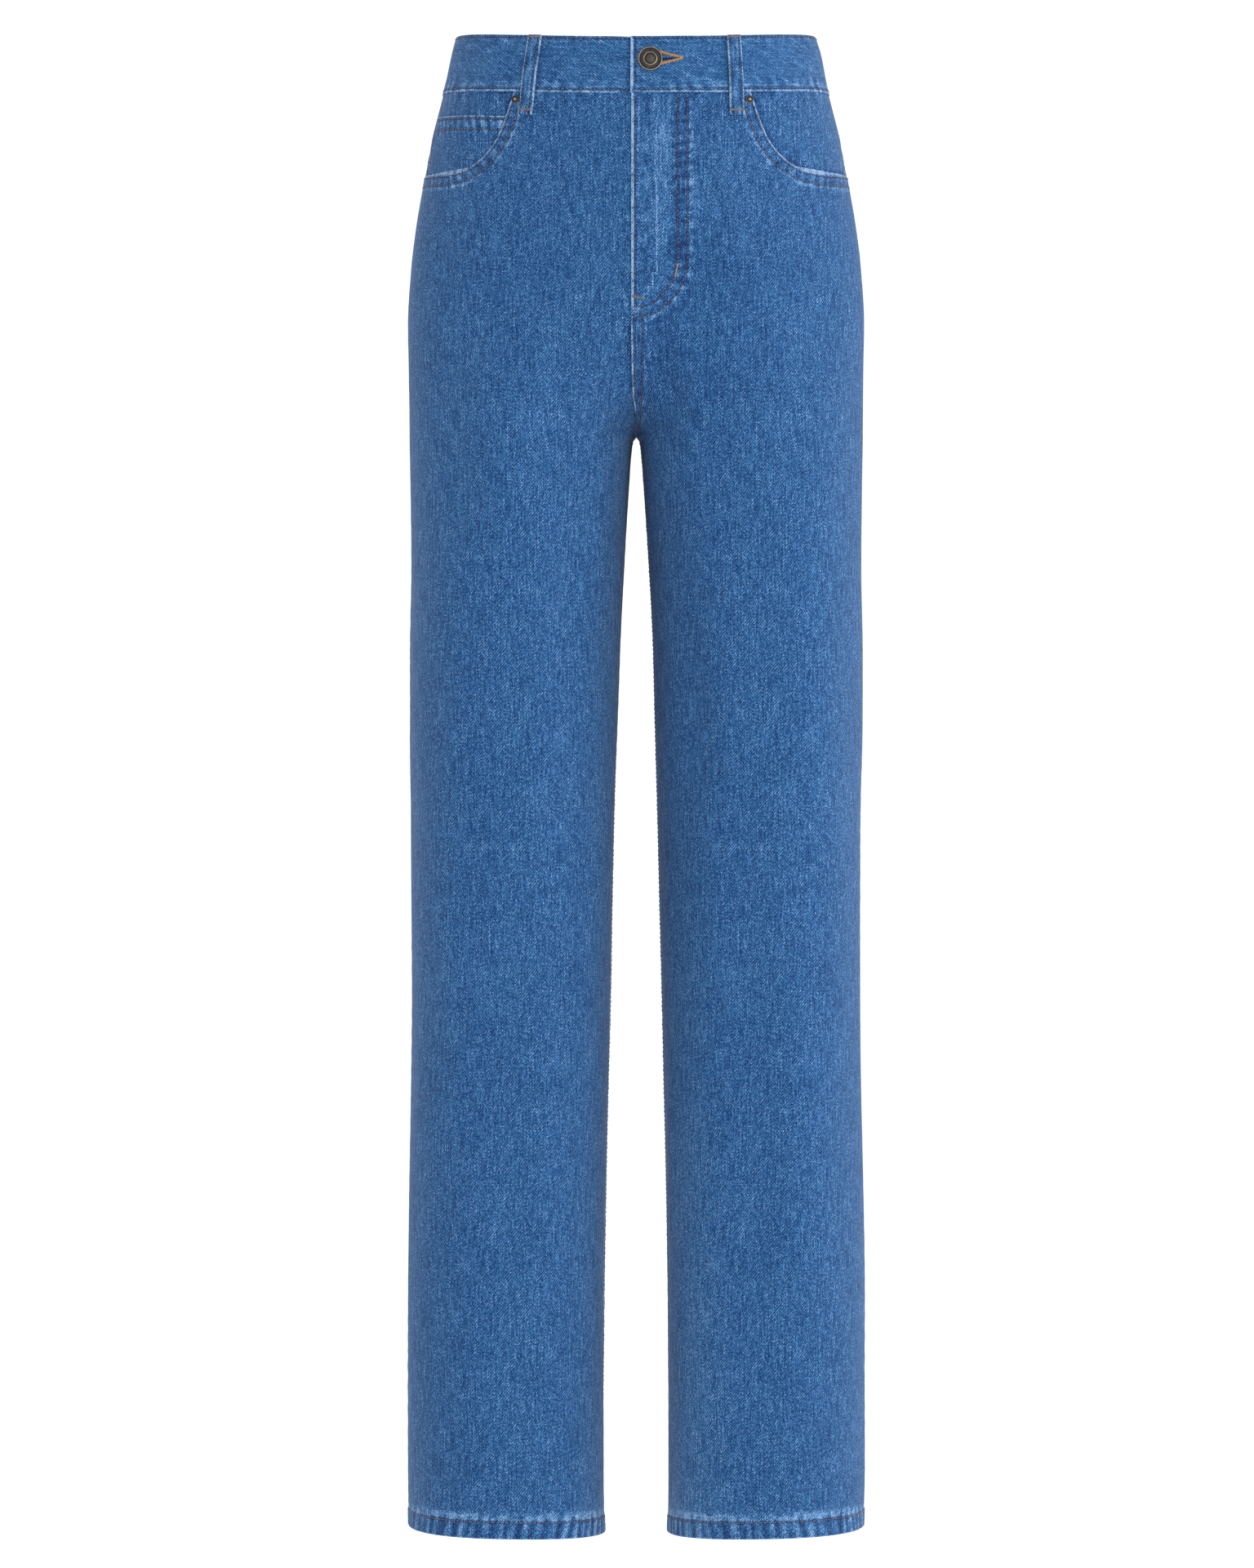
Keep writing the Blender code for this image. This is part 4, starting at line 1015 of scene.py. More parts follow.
def inner_leg_painted_light(side, around, drop):
    """Painted light: the cloth is painted paler at the inner edges of the legs, against the shade
    that falls between them, more so at the wearer's left hem.
    """
    x = form(around, drop)[..., 0]
    low = smooth_step(0.55, 0.95, drop)
    amount, reach = (0.15, 0.026) if side == RIGHT else (0.11 + 0.08 * low, 0.026 + 0.03 * low)
    inner = 1.0 - smooth_step(0.0, reach, x - section(LEG, "inner", drop)[0])
    return amount * inner * smooth_step(CROTCH_DROP - 0.035, CROTCH_DROP + 0.005, drop)


def front_painted_light_and_shade(side, around, drop):
    """Painted light at a front's inner leg edges. A left front also gets painted shade in the
    hollow beside the fly, and painted light and shade in columns down its fly.
    """
    fade = inner_leg_painted_light(side, around, drop)
    if side == RIGHT:
        return fade
    x = form(around, drop)[..., 0]
    # Painted shade in the hollow beside the fly
    hollow = window(drop, 0.120, 0.170, 0.240, 0.300)
    fade = fade - 0.055 * hollow * (1.0 - smooth_step(0.055, 0.110, x))
    level = level_of(around, drop)
    on_fly = 1.0 - smooth_step(FLY_TURN, FLY_FOOT - 0.008, drop)
    on_fly = on_fly * window(level, -0.002, 0.003, 0.036, 0.042)
    # Painted light and shade in columns down the fly, standing in for its relief
    for centre, half, amount in FLY_SHADING_COLUMNS:
        drift = 0.0016 * ripple(drop / 0.030, 90.0 * centre)
        stripe = amount * np.exp(-((level - centre - drift) / half) ** 2)
        fade = fade + on_fly * stripe * (0.85 + 0.45 * ripple(drop / 0.016, 1.0 + centre))
    return fade


def front_seams(side, around, drop):
    """Everything sewn on a front."""
    level = level_of(around, drop)
    in_leg = drop > CROTCH_DROP
    edge = np.where(drop < CROTCH_DROP, -lap_reach(side, drop), SEAM_GAP / 2.0)
    from_edge = level - edge
    inseam = from_edge if side == RIGHT else from_edge + beyond(in_leg)
    seams = [
        joined_seam(inseam, drop, 2.0 + side, 0.25, 0.2, 0.010),
        side_seam(side_level(drop) - level + beyond(drop >= 0.1), drop, 4.0 + side),
        Seam(*mouth_gap(side, around, drop), MOUTH_ROWS, wear_and_shade=1.8, pucker=1.1, reach=0.0095,
             wave=0.0062, seed=6.0 + side, pale=(0.0100, 0.0016, 0.16)),
        joined_seam(drop - BAND_HEIGHT, level, 8.0 + side),
        hem_seam(around, drop, 10.0 + side),
    ]
    if side == RIGHT:
        return seams
    path = fly_path()
    gap, along = path_distance(level, drop, path)
    bend = np.interp(drop, path[:, 1], path[:, 0])
    gap = np.where((level > bend) | (drop > FLY_FOOT), gap, -gap)
    return seams + [
        Seam(from_edge + beyond(drop <= FLY_FOOT), drop, (FLY_ROW, FAR), wear_and_shade=2.4, pucker=0.4,
             reach=0.0060, wave=0.011, seed=12.0, pale=(0.0100, 0.0040, 0.14)),
        Seam(from_edge + beyond(~in_leg & (drop > FLY_FOOT)), drop, FELL_ROWS, wear_and_shade=1.4,
             pucker=1.0, reach=0.0090, wave=0.010, seed=13.0),
        Seam(gap, along, (-FLY_HALF, FLY_HALF), wear_and_shade=0.0, pucker=0.9, reach=0.0065, wave=0.0068,
             seed=14.0, pale=(0.0058, 0.0020, 0.16)),
    ]


# Backs and yokes


def back_rows(drop):
    """Rows of a back from the side seam to the centre back or the inseam."""
    side_edge = OUTSEAM + SEAM_GAP / 2.0 / speed(OUTSEAM, drop)
    inner = np.where(drop < CROTCH_DROP, 1.0, 1.0 - SEAM_GAP / 2.0 / speed(1.0, drop))
    return side_edge, inner


def yoke_seam(around):
    """Drop of the seam between yoke and back."""
    share = np.clip((around - OUTSEAM) / (1.0 - OUTSEAM), 0.0, 1.0)
    return BAND_HEIGHT + YOKE_AT_SIDE + (YOKE_AT_BACK - YOKE_AT_SIDE) * share


def back_grid(columns=112):
    """Places of a back's points: the first rows open out from the slanting yoke seam."""
    start = BAND_HEIGHT + YOKE_AT_BACK
    rows = np.concatenate((start + NEAR_EDGE[:6], leg_drops(start + 0.005, 0.0026)))
    side_edge, inner = back_rows(rows)
    shares = edge_shares(level_of(inner, rows) - level_of(side_edge, rows), columns)
    around = side_edge[:, None] + (inner - side_edge)[:, None] * shares
    slope = 1.0 - smooth_step(start, 0.1750, rows)
    rise = yoke_seam(around) - start + SEAM_GAP / 2.0
    drop = rows[:, None] + rise * slope[:, None]
    return ease_columns(around, drop, -1), drop


def yoke_grid(columns=100, rows=34):
    """Places of a yoke's points, from the waistband to the yoke seam."""
    top = BAND_HEIGHT + SEAM_GAP / 2.0
    side_edge, inner = (edge[0] for edge in back_rows(np.full(2, BAND_HEIGHT + YOKE_AT_BACK)))
    span = level_of(inner, BAND_HEIGHT) - level_of(side_edge, BAND_HEIGHT)
    around = side_edge + (inner - side_edge) * edge_shares((span,), columns)[0]
    height = yoke_seam(around) - SEAM_GAP / 2.0 - top
    down = line_shares(YOKE_ROW_SPAN, rows)
    return np.repeat(around[None, :], rows, axis=0), top + height * down[:, None]


def centre_seam(side, distance, drop, pucker, seed):
    """The centre back seam: its rows and its edge, pale with wear, lie on the wearer's left."""
    rows, wear_and_shade = (DOUBLE_ROWS, 1.0) if side == LEFT else (NO_ROWS, 0.35)
    return Seam(distance, drop, rows, wear_and_shade=wear_and_shade, pucker=pucker, reach=0.0090, wave=0.009,
                seed=seed)


def back_seams(side, around, drop):
    """Everything sewn on a back."""
    level = level_of(around, drop)
    middle = level_of(1.0, drop) - level
    in_leg = drop > CROTCH_DROP
    return [
        centre_seam(side, middle + beyond(~in_leg), drop, 0.6, 21.0 + side),
        Seam(middle + beyond(in_leg), drop, DOUBLE_ROWS, wear_and_shade=0.8, pucker=0.5, reach=0.0090,
             wave=0.009, seed=23.0 + side),
        side_seam(level - side_level(drop), drop, 25.0 + side),
        joined_seam(drop - yoke_seam(around), level, 27.0 + side, 0.45, 0.3, 0.008),
        hem_seam(around, drop, 29.0 + side),
    ]


def yoke_seams(side, around, drop):
    """Everything sewn on a yoke."""
    level = level_of(around, drop)
    return [
        centre_seam(side, level_of(1.0, drop) - level, drop, 0.5, 31.0 + side),
        side_seam(level - side_level(drop), drop, 33.0 + side),
        Seam(yoke_seam(around) - drop, level, DOUBLE_ROWS, wear_and_shade=1.3, pucker=1.1, reach=0.0090,
             wave=0.0068, seed=35.0 + side, pale=(0.0050, 0.0024, 0.10)),
        joined_seam(drop - BAND_HEIGHT, level, 37.0 + side),
    ]


def no_rise(side, around, drop):
    """For cloth that lies on the form."""
    return 0.0 * drop


# Pocket facing, coin pocket and back pockets


def facing_rise(side, around, drop):
    """The facing lies under the front and comes up level with it at the side seam."""
    gap, _ = mouth_gap(side, around, drop)
    return -(DENIM + FACING_GAP) * (1.0 - smooth_step(*FACING_LEVEL, -gap))


def facing_grid(side, columns=61, rows=41):
    """Places of the facing's points."""
    reach = MOUTH_WIDTH[side] * MOUTH["from_side"][0] + FACING_MARGIN
    depth = MOUTH["below_band"].max() + FACING_MARGIN
    drop = np.linspace(BAND_HEIGHT + SEAM_GAP / 2.0, BAND_HEIGHT + depth, rows)
    level = side_level(drop)[:, None] - np.linspace(SEAM_GAP / 2.0, reach, columns)
    drop = np.repeat(drop[:, None], columns, axis=1)
    return around_of(level, drop), drop


def facing_seams(side, around, drop):
    """The facing lies between the front's mouth, the band and the side seam."""
    gap, along = mouth_gap(side, around, drop)
    level = level_of(around, drop)
    return [
        # The negative wear paints shade on the facing just under the front's mouth edge
        Seam(-gap, along, wear_and_shade=-1.0, pucker=0.2, reach=0.004, seed=41.0 + side),
        side_seam(side_level(drop) - level, drop, 43.0 + side),
        joined_seam(drop - BAND_HEIGHT, level, 45.0, 0.4),
    ]


def coin_edges(side):
    """Levels of the coin pocket's side edge and of its edge under the mouth, at its top."""
    top = BAND_HEIGHT + COIN_TOP
    mouth = mouth_path(side)
    edge = float(np.interp(top, mouth[:30, 1], mouth[:30, 0])) + COIN_CLEARANCE
    return float(side_level(top)) - COIN_SIDE, edge


def coin_grid(side, columns=61, rows=39):
    """Places of the coin pocket's points."""
    top = BAND_HEIGHT + COIN_TOP
    side_edge, mouth_edge = coin_edges(side)
    mouth = mouth_path(side)
    shares = line_shares(side_edge - mouth_edge, columns)
    around = around_of(side_edge + (mouth_edge - side_edge) * shares, top)
    down = line_shares(COIN_ROW_SPAN, rows)
    around_mouth = around_of(mouth[:, 0], mouth[:, 1])
    foot = np.interp(around, around_mouth, mouth[:, 1]) - COIN_CLEARANCE
    return np.repeat(around[None, :], rows, axis=0), top + (foot - top) * down[:, None]


def coin_rise(side, around, drop):
    """The coin pocket lies on the facing and slips under the front's mouth."""
    gap, _ = mouth_gap(side, around, drop)
    under = 1.0 - smooth_step(*COIN_UNDER, -gap)
    return facing_rise(side, around, drop) + DENIM + COIN_GAP - COIN_SINK * under


def coin_seams(side, around, drop):
    """The coin pocket's hem has two rows, and its side edge one."""
    level = level_of(around, drop)
    side_edge = level_of(around_of(coin_edges(side)[0], BAND_HEIGHT + COIN_TOP), drop)
    return [
        Seam(drop - BAND_HEIGHT - COIN_TOP, level, COIN_ROWS, wear_and_shade=1.2, pucker=1.2, reach=0.0100,
             wave=0.006, seed=51.0, pale=(0.0060, 0.0026, 0.16)),
        Seam(side_edge - level, drop, (COIN_SIDE_ROW, FAR), wear_and_shade=0.5, pucker=0.3, reach=0.004,
             seed=52.0),
    ]


def patch_outline():
    """The back pocket's five corners in level from the centre back, and drop."""
    foot = POCKET_TOP + POCKET_LENGTH
    return np.array((
        (POCKET_CENTRE - POCKET_TOP_HALF, POCKET_TOP), (POCKET_CENTRE - POCKET_FOOT_HALF, foot),
        (POCKET_CENTRE, foot + POCKET_POINT), (POCKET_CENTRE + POCKET_FOOT_HALF, foot),
        (POCKET_CENTRE + POCKET_TOP_HALF, POCKET_TOP),
    ))


def patch_grid(columns=83, rows=77):
    """Places of a back pocket's points."""
    across = 2.0 * line_shares(2.0 * POCKET_TOP_HALF, columns) - 1.0
    down = line_shares(POCKET_LENGTH, rows)[:, None]
    point = POCKET_POINT * (1.0 - np.abs(across))
    drop = POCKET_TOP + down * (POCKET_LENGTH + point)
    half = POCKET_TOP_HALF + (POCKET_FOOT_HALF - POCKET_TOP_HALF) * down
    distance = POCKET_CENTRE + half * across
    return around_of(level_of(1.0, drop) - distance, drop), drop


def patch_seams(side, around, drop):
    """Double rows round the pocket, and its hem."""
    distance = level_of(1.0, drop) - level_of(around, drop)
    return [
        Seam(*path_distance(distance, drop, patch_outline()), PATCH_ROWS, wear_and_shade=1.3, pucker=1.1,
             reach=0.0095, wave=0.0068, seed=61.0 + side, pale=(0.0050, 0.0024, 0.10)),
        Seam(drop - POCKET_TOP, distance, PATCH_HEM_ROWS, wear_and_shade=1.2, pucker=1.1, reach=0.0130,
             wave=0.0072, seed=63.0 + side, pale=(0.0140, 0.0022, 0.14)),
    ]


def patch_rise(side, around, drop):
    """The back pocket lies on the back."""
    return POCKET_GAP + DENIM + 0.0 * drop


# Fly shield and zip tape


def strip_grid(first, last, top, bottom, columns, rows):
    """Even places between two levels and two drops."""
    level, drop = np.meshgrid(np.linspace(first, last, columns), np.linspace(top, bottom, rows))
    return around_of(level, drop), drop


def strip_seams(first, last):
    """A plain strip's two overcast edges, at two levels."""
    def seams(side, around, drop):
        level = level_of(around, drop)
        return [Seam(level - first, drop, wear_and_shade=0.3, pucker=0.3, reach=0.004, seed=95.0),
                Seam(last - level, drop, wear_and_shade=0.3, pucker=0.3, reach=0.004, seed=96.0)]
    return seams


def shield_rise(side, around, drop):
    """The shield lies behind the zip and comes forward under the fly's edge."""
    near = DENIM + LAYER_GAP
    back = smooth_step(SHIELD_EDGE + 0.001, -0.004, level_of(around, drop))
    return -(near + (SHIELD_DEPTH - near) * back)


def tape_rise(side, around, drop):
    """The tape lies behind the fly."""
    return 0.0 * drop - ZIP_DEPTH


# Panels


class Panel:
    """A fine piece of cloth: its places, seams and face in one. facing says whose grain
    it follows, and folded which of its seams are turned edges."""

    def __init__(self, name, side, grid, seams, rise, sizes, facing, thickness=DENIM,
                 shade=None, soft=True, folded=()):
        self.name = name
        self.side = side
        self.around, self.drop = grid
        self.seams = seams
        self.rise = rise
        self.sizes = sizes
        self.facing = facing
        self.thickness = thickness
        self.shade = shade
        self.folded = folded
        self.face = Face(side, self.full_rise, soft)

    def full_rise(self, around, drop):
        """Layers, puckers and turned edges together."""
        seams = self.seams(self.side, around, drop)
        total = self.rise(self.side, around, drop) + self.sizes.pucker * pucker_height(seams)
        for at in self.folded:
            total = total + edge_roll(np.maximum(seams[at].distance, 0.0))
        return total

    def build(self, material, replaced):
        """The shell, standing in for its CAD node; its size as cut is worked out but not kept."""
        place = self.side, self.around, self.drop
        outer, out = self.face.place(self.around, self.drop)
        wall = self.thickness(self.drop) if callable(self.thickness) else self.thickness
        inner = outer - out * np.broadcast_to(wall, self.drop.shape)[..., None]
        # shade holds painted light and shade for the cloth's tone
        shade = self.shade(*place) if self.shade else 0.0
        plan = (self.side * across_grain(self.facing, self.around, self.drop), self.drop)
        piece = add_shell(self.name, outer, inner, plan, seam_marks(self.seams(*place), shade),
                          material)
        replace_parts(piece, replaced)
        down, across = (np.linalg.norm(np.diff(outer, axis=i), axis=2).sum(axis=i) for i in (0, 1))
        width, length = float(across.max()), float(down.max())
        a = outer[1:, :-1] - outer[:-1, :-1]
        b = outer[:-1, 1:] - outer[:-1, :-1]
        area = float(np.linalg.norm(np.cross(a, b), axis=2).sum())
        area = min(max(area, 0.31 * width * length), width * length)
        Kit.panels[self.name] = self


# Waistband and belt loops


# Distances from the centre line in which the band's two ends come down onto the form
TOP_END_EASE = (0.0300, 0.0550)
UNDER_END_EASE = (0.0042, 0.0150)
# Height of the drag marks on the band, and the part of its face that has them
DRAG_HEIGHT = 0.00045
DRAG_WINDOW = (0.0025, 0.0100, 0.0310, 0.0375)
ROUND_EDGE = 0.0012
CUTTER_DEPTH = 0.006


def band_lift(side, around):
    """Outer face of the band: the left end lies on top at the front, the right one under."""
    x = form(around, np.full_like(around, BAND_MIDDLE))[..., 0]
    if side == LEFT:
        lift = BAND_LIFT + (BAND_PROUD - BAND_LIFT) * (1.0 - smooth_step(*TOP_END_EASE, x))
    else:
        lift = BAND_LIFT - (BAND_PROUD + BAND_LIFT) * (1.0 - smooth_step(*UNDER_END_EASE, x))
    return np.where(around > OUTSEAM, BAND_LIFT, lift)


def band_relief(side, around, drop):
    """Slanting drag marks and a little unevenness of the band's face."""
    level = side * level_of(around, BAND_MIDDLE)
    slanted = level + 0.9 * drop
    drag = ripple_field(slanted / 0.016, (drop - 0.35 * level) / 0.030, 71.0 + side)
    soft = ripple_field(level / 0.045, drop / 0.030, 75.0 + side)
    return DRAG_HEIGHT * window(drop, *DRAG_WINDOW) * (drag + soft)


def band_seams(side, around, drop):
    """The band's rows along its two edges and at the end that laps on top."""
    level = level_of(around, BAND_MIDDLE)
    seams = [
        Seam(drop, level, (BAND_ROW, FAR), wear_and_shade=0.75, pucker=0.5, reach=0.0050, wave=0.0080,
             seed=81.0 + side),
        Seam(BAND_HEIGHT - drop, level, (BAND_ROW, FAR), wear_and_shade=0.9, pucker=0.9, reach=0.0075,
             wave=0.0085, seed=83.0 + side, pale=(0.0045, 0.0020, 0.10)),
    ]
    if side == LEFT:
        seams.append(Seam(level + BAND_TOP_LAP, drop, (BAND_END_ROW, FAR), wear_and_shade=2.4, pucker=0.4,
                          reach=0.0050, wave=0.009, seed=85.0, pale=(0.0012, 0.0012, 0.16)))
    return seams


def band_place(side, around, drop, sizes, proud=0.0, relief=1.0):
    """Points and outward directions of the band's outer face. relief is the share that
    each point has of the face's unevenness."""
    around, drop = pair(around, drop)
    pucker = pucker_height(band_seams(side, around, drop))
    detail = band_relief(side, around, drop) + sizes.pucker * pucker
    rise = band_lift(side, around) + proud + relief * detail
    out = normal(around, drop)
    return (form(around, drop) + out * rise[..., None]) * hand(side), out * hand(side)


def band_columns(side):
    """Places of the band's columns on one side, in its order from the underlap round to
    the end on top."""
    total = float(level_of(0.997, BAND_MIDDLE))
    if side == RIGHT:
        under = around_at_x(-BAND_UNDERLAP, BAND_MIDDLE)
        level = np.linspace(float(level_of(under, BAND_MIDDLE)), total, 205)
    else:
        lap = float(level_of(around_at_x(-BAND_TOP_LAP, BAND_MIDDLE), BAND_MIDDLE))
        finer = lap + NEAR_EDGE[::-1]
        level = np.linspace(total, lap, 196)
        level = np.concatenate((level[level > finer[0]], finer))
    return around_of(level, BAND_MIDDLE)


def band_section():
    """Drop, depth and share of the face's relief at the points round the band's section,
    from the top edge down the outer face and up the inner one."""
    low = BAND_HEIGHT - SEAM_GAP / 2.0
    lip = BAND_HEIGHT + BAND_LIP
    deep = BAND_THICKNESS
    outer = [(drop, 0.0, 1.0) for drop in np.linspace(ROUND_EDGE, lip - 0.0006, 24)]
    foot = [(lip - 0.0002, -0.0001, 0.6), (lip, -0.0003, 0.2), (low, -0.0007, 0.0),
            (low, 0.0003 - deep, 0.0)]
    inner = [(drop, -deep, 0.0) for drop in np.linspace(low - 0.0006, 0.0009, 8)]
    turns = np.linspace(0.1, 0.9, 5) * math.pi
    top = [(ROUND_EDGE * (1.0 - math.sin(turn)), -deep * (1.0 + math.cos(turn)) / 2.0, 0.5)
           for turn in turns]
    return np.array(outer + foot + inner + top).T


def cut_buttonhole(band):
    """Cuts the buttonhole through the upper end: a round eye and a narrow slit."""
    cutters = []
    for name, middle in (("eye", BUTTON_X), ("slit", (BUTTON_X + SLIT_END_X) / 2.0)):
        bpy.ops.object.select_all(action="DESELECT")
        if name == "eye":
            bpy.ops.mesh.primitive_cylinder_add(vertices=32, radius=EYE_RADIUS, depth=CUTTER_DEPTH)
        else:
            bpy.ops.mesh.primitive_cube_add(size=1.0)
            bpy.ops.transform.resize(value=(SLIT_END_X - BUTTON_X, 2.0 * SLIT_HALF, CUTTER_DEPTH))
        cutter = bpy.context.object
        bpy.ops.object.transform_apply(location=True, rotation=True, scale=True)
        around = around_at_x(middle, BUTTON_DROP)
        cutter.data.transform(place_on(LEFT, around, BUTTON_DROP, BAND_PROUD))
        cutters.append(cutter)
    # The marks are carried over by hand, each from the nearest old point
    points = band.data.vertices
    places = kdtree.KDTree(len(points))
    marks = {label: np.empty(3 * len(points), dtype=np.float32) for label in MARKS}
    for label, values in marks.items():
        band.data.attributes[label].data.foreach_get("vector", values)
    for vertex in points:
        places.insert(vertex.co, vertex.index)
    places.balance()
    for cutter in cutters:
        bpy.ops.object.select_all(action="DESELECT")
        bpy.context.view_layer.objects.active = band
        cut = band.modifiers.new("buttonhole", "BOOLEAN")
        cut.operation, cut.solver, cut.object = "DIFFERENCE", "EXACT", cutter
        bpy.ops.object.modifier_apply(modifier=cut.name)
        bpy.data.objects.remove(cutter, do_unlink=True)
    nearest = [places.find(vertex.co)[1] for vertex in band.data.vertices]
    for label, values in marks.items():
        old = band.data.attributes.get(label)
        if old is not None:
            band.data.attributes.remove(old)
        add_mark(band.data, label, values.reshape(-1, 3)[nearest])


def add_band(sizes, material):
    """The waistband as one closed strip, with its buttonhole cut through the upper end."""
    section_drop, depth, relief = band_section()
    inside = np.where(relief > 0.0, 0.0, 1.0)
    length = float(2.0 * level_of(1.0, BAND_MIDDLE))
    grids, plans, marks_of = [], [], []
    for side in (RIGHT, LEFT):
        around, drop = pair(band_columns(side)[:, None], section_drop)
        points, _ = band_place(side, around, drop, sizes, depth, relief)
        along = level_of(around, BAND_MIDDLE)
        along = along if side == RIGHT else length - along
        grids.append(points)
        plans.append(np.stack((drop + 0.06 * inside, along), axis=-1))
        marks_of.append(seam_marks(band_seams(side, around, drop), reverse=inside))
    grid, plan = np.concatenate(grids), np.concatenate(plans)
    near = np.arange(grid[..., 0].size).reshape(grid.shape[:2])
    onward = np.roll(near, -1, axis=1)
    faces = np.stack((near[:-1], near[1:], onward[1:], onward[:-1]), axis=-1)
    faces = faces.reshape(-1, 4).tolist() + [near[0].tolist(), near[-1].tolist()[::-1]]
    marks = [(label, np.concatenate([m[label] for m in marks_of]).reshape(-1, 3))
             for label in MARKS]
    piece = add_mesh("waistband_cloth", grid.reshape(-1, 3), faces, material,
                     plan.reshape(-1, 2), marks)
    cut_buttonhole(piece)
    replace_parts(piece, "waistband")
    length += BAND_UNDERLAP


# Drops at which a belt loop leaves the band, and comes up onto its folded foot
LOOP_OFF_BAND = (BAND_HEIGHT, BAND_HEIGHT + 0.0070)
LOOP_ON_FOOT = (LOOP_BOTTOM - 0.0068, LOOP_BOTTOM - 0.0052)


class Loop:
    """One belt loop: a strip over the waistband, sewn down at its two ends."""

    def __init__(self, label, side, top_around, bottom_around):
        self.label = label
        self.top = top_around
        self.bottom = bottom_around
        self.face = Face(side, self.rise, soft=False)

    def rise(self, around, drop):
        """Height over the form along the strip."""
        on_band = 1.0 - smooth_step(*LOOP_OFF_BAND, drop)
        bulge = LOOP_BULGE * np.sin(math.pi * np.clip(drop / (BAND_HEIGHT + 0.0080), 0.0, 1.0))
        foot = smooth_step(*LOOP_ON_FOOT, drop)
        return LAYER_GAP + LOOP_THICKNESS + BAND_LIFT * on_band + bulge + LOOP_FOOT * foot

    def places(self, down, across):
        """Around and drop at shares down the strip and metres across it."""
        down, across = pair(down, across)
        drop = LOOP_TOP + (LOOP_BOTTOM - LOOP_TOP) * down
        centre = self.top + (self.bottom - self.top) * down
        return centre + across / speed(centre, drop), drop

    def build(self, sizes, material):
        """The strip, with rounded edges, a raised middle of each edge and a folded foot."""
        half = LOOP_WIDTH / 2.0
        across = np.concatenate((-half + NEAR_EDGE[:6], np.linspace(-0.0018, 0.0018, 5),
                                 half - NEAR_EDGE[:6][::-1]))
        length = LOOP_BOTTOM - LOOP_TOP
        down = edge_shares((length,), 34)[0]
        around, drop = self.places(down[:, None], across[None, :])
        across = np.broadcast_to(across, drop.shape)
        edge = half - np.abs(across)
        ends = np.minimum(down, 1.0 - down)[:, None] * length
        wave = ripple(down[:, None] * length / 0.0055 + 3.0 * np.sign(across), self.top * 90.0)
        rise = sizes.pucker * 0.6 * wave * smooth_step(0.0, 0.002, edge)
        rise = rise - 0.00035 * np.exp(-((edge - LOOP_ROW) / 0.0006) ** 2)
        rise = rise + edge_roll(edge, 0.0010, 0.0007) + edge_roll(ends * np.ones_like(edge))
        outer, out = self.face.place(around, drop, rise)
        foot = self.rise(around, drop) - LAYER_GAP - LOOP_THICKNESS
        inner = outer - out * (LOOP_THICKNESS + rise + 0.8 * foot * (drop > 0.042))[..., None]
        marks = {
            # The waves also drive painted highlight and shade on the loop in the finish
            "seam": triple(drop, edge, wave * 0.8),
            "rows": triple(edge - LOOP_ROW, FAR, 1.1),
            "tone": triple(0.04 + 0.0 * edge, 0.0, 0.0),
        }
        piece = add_shell("loop_" + self.label, outer, inner, (across, drop + 3.0 * self.top),
                          marks, material)
        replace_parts(piece, "belt_loop_" + self.label)


def all_loops():
    """All five belt loops."""
    found = []
    for label, side in SIDES:
        top_x, bottom_x = FRONT_LOOP_X[side]
        found.append(Loop("front_" + label, side, around_at_x(top_x, LOOP_TOP),
                          around_at_x(bottom_x, LOOP_BOTTOM)))
        found.append(Loop("back_" + label, side, SIDE_BACK_LOOP, SIDE_BACK_LOOP))
    return found + [Loop("centre_back", LEFT, CENTRE_BACK_LOOP, CENTRE_BACK_LOOP)]


# Thread

RING_PLACES = np.array((0.0, 0.16, 0.50, 0.84, 1.0))
RING_SIZES = np.array((0.45, 0.92, 1.00, 0.92, 0.45))
RING_HEIGHTS = np.array((-0.90, 0.30, 0.60, 0.30, -0.90))
THREAD_SIDES = 4
THREAD_WIDTH = 1.15
TINT_SPREAD = 0.35
# Radius of the thread of bars, of the bars of belt loops, of the buttonhole and of its tip
BAR_THREAD, LOOP_THREAD, HOLE_THREAD, TIP_THREAD = 0.00021, 0.00022, 0.0003, 0.00026
BAR_PITCH = 0.00034


def unit(vectors):
    """Directions of vectors."""
    return vectors / np.maximum(np.linalg.norm(vectors, axis=-1, keepdims=True), 1e-9)


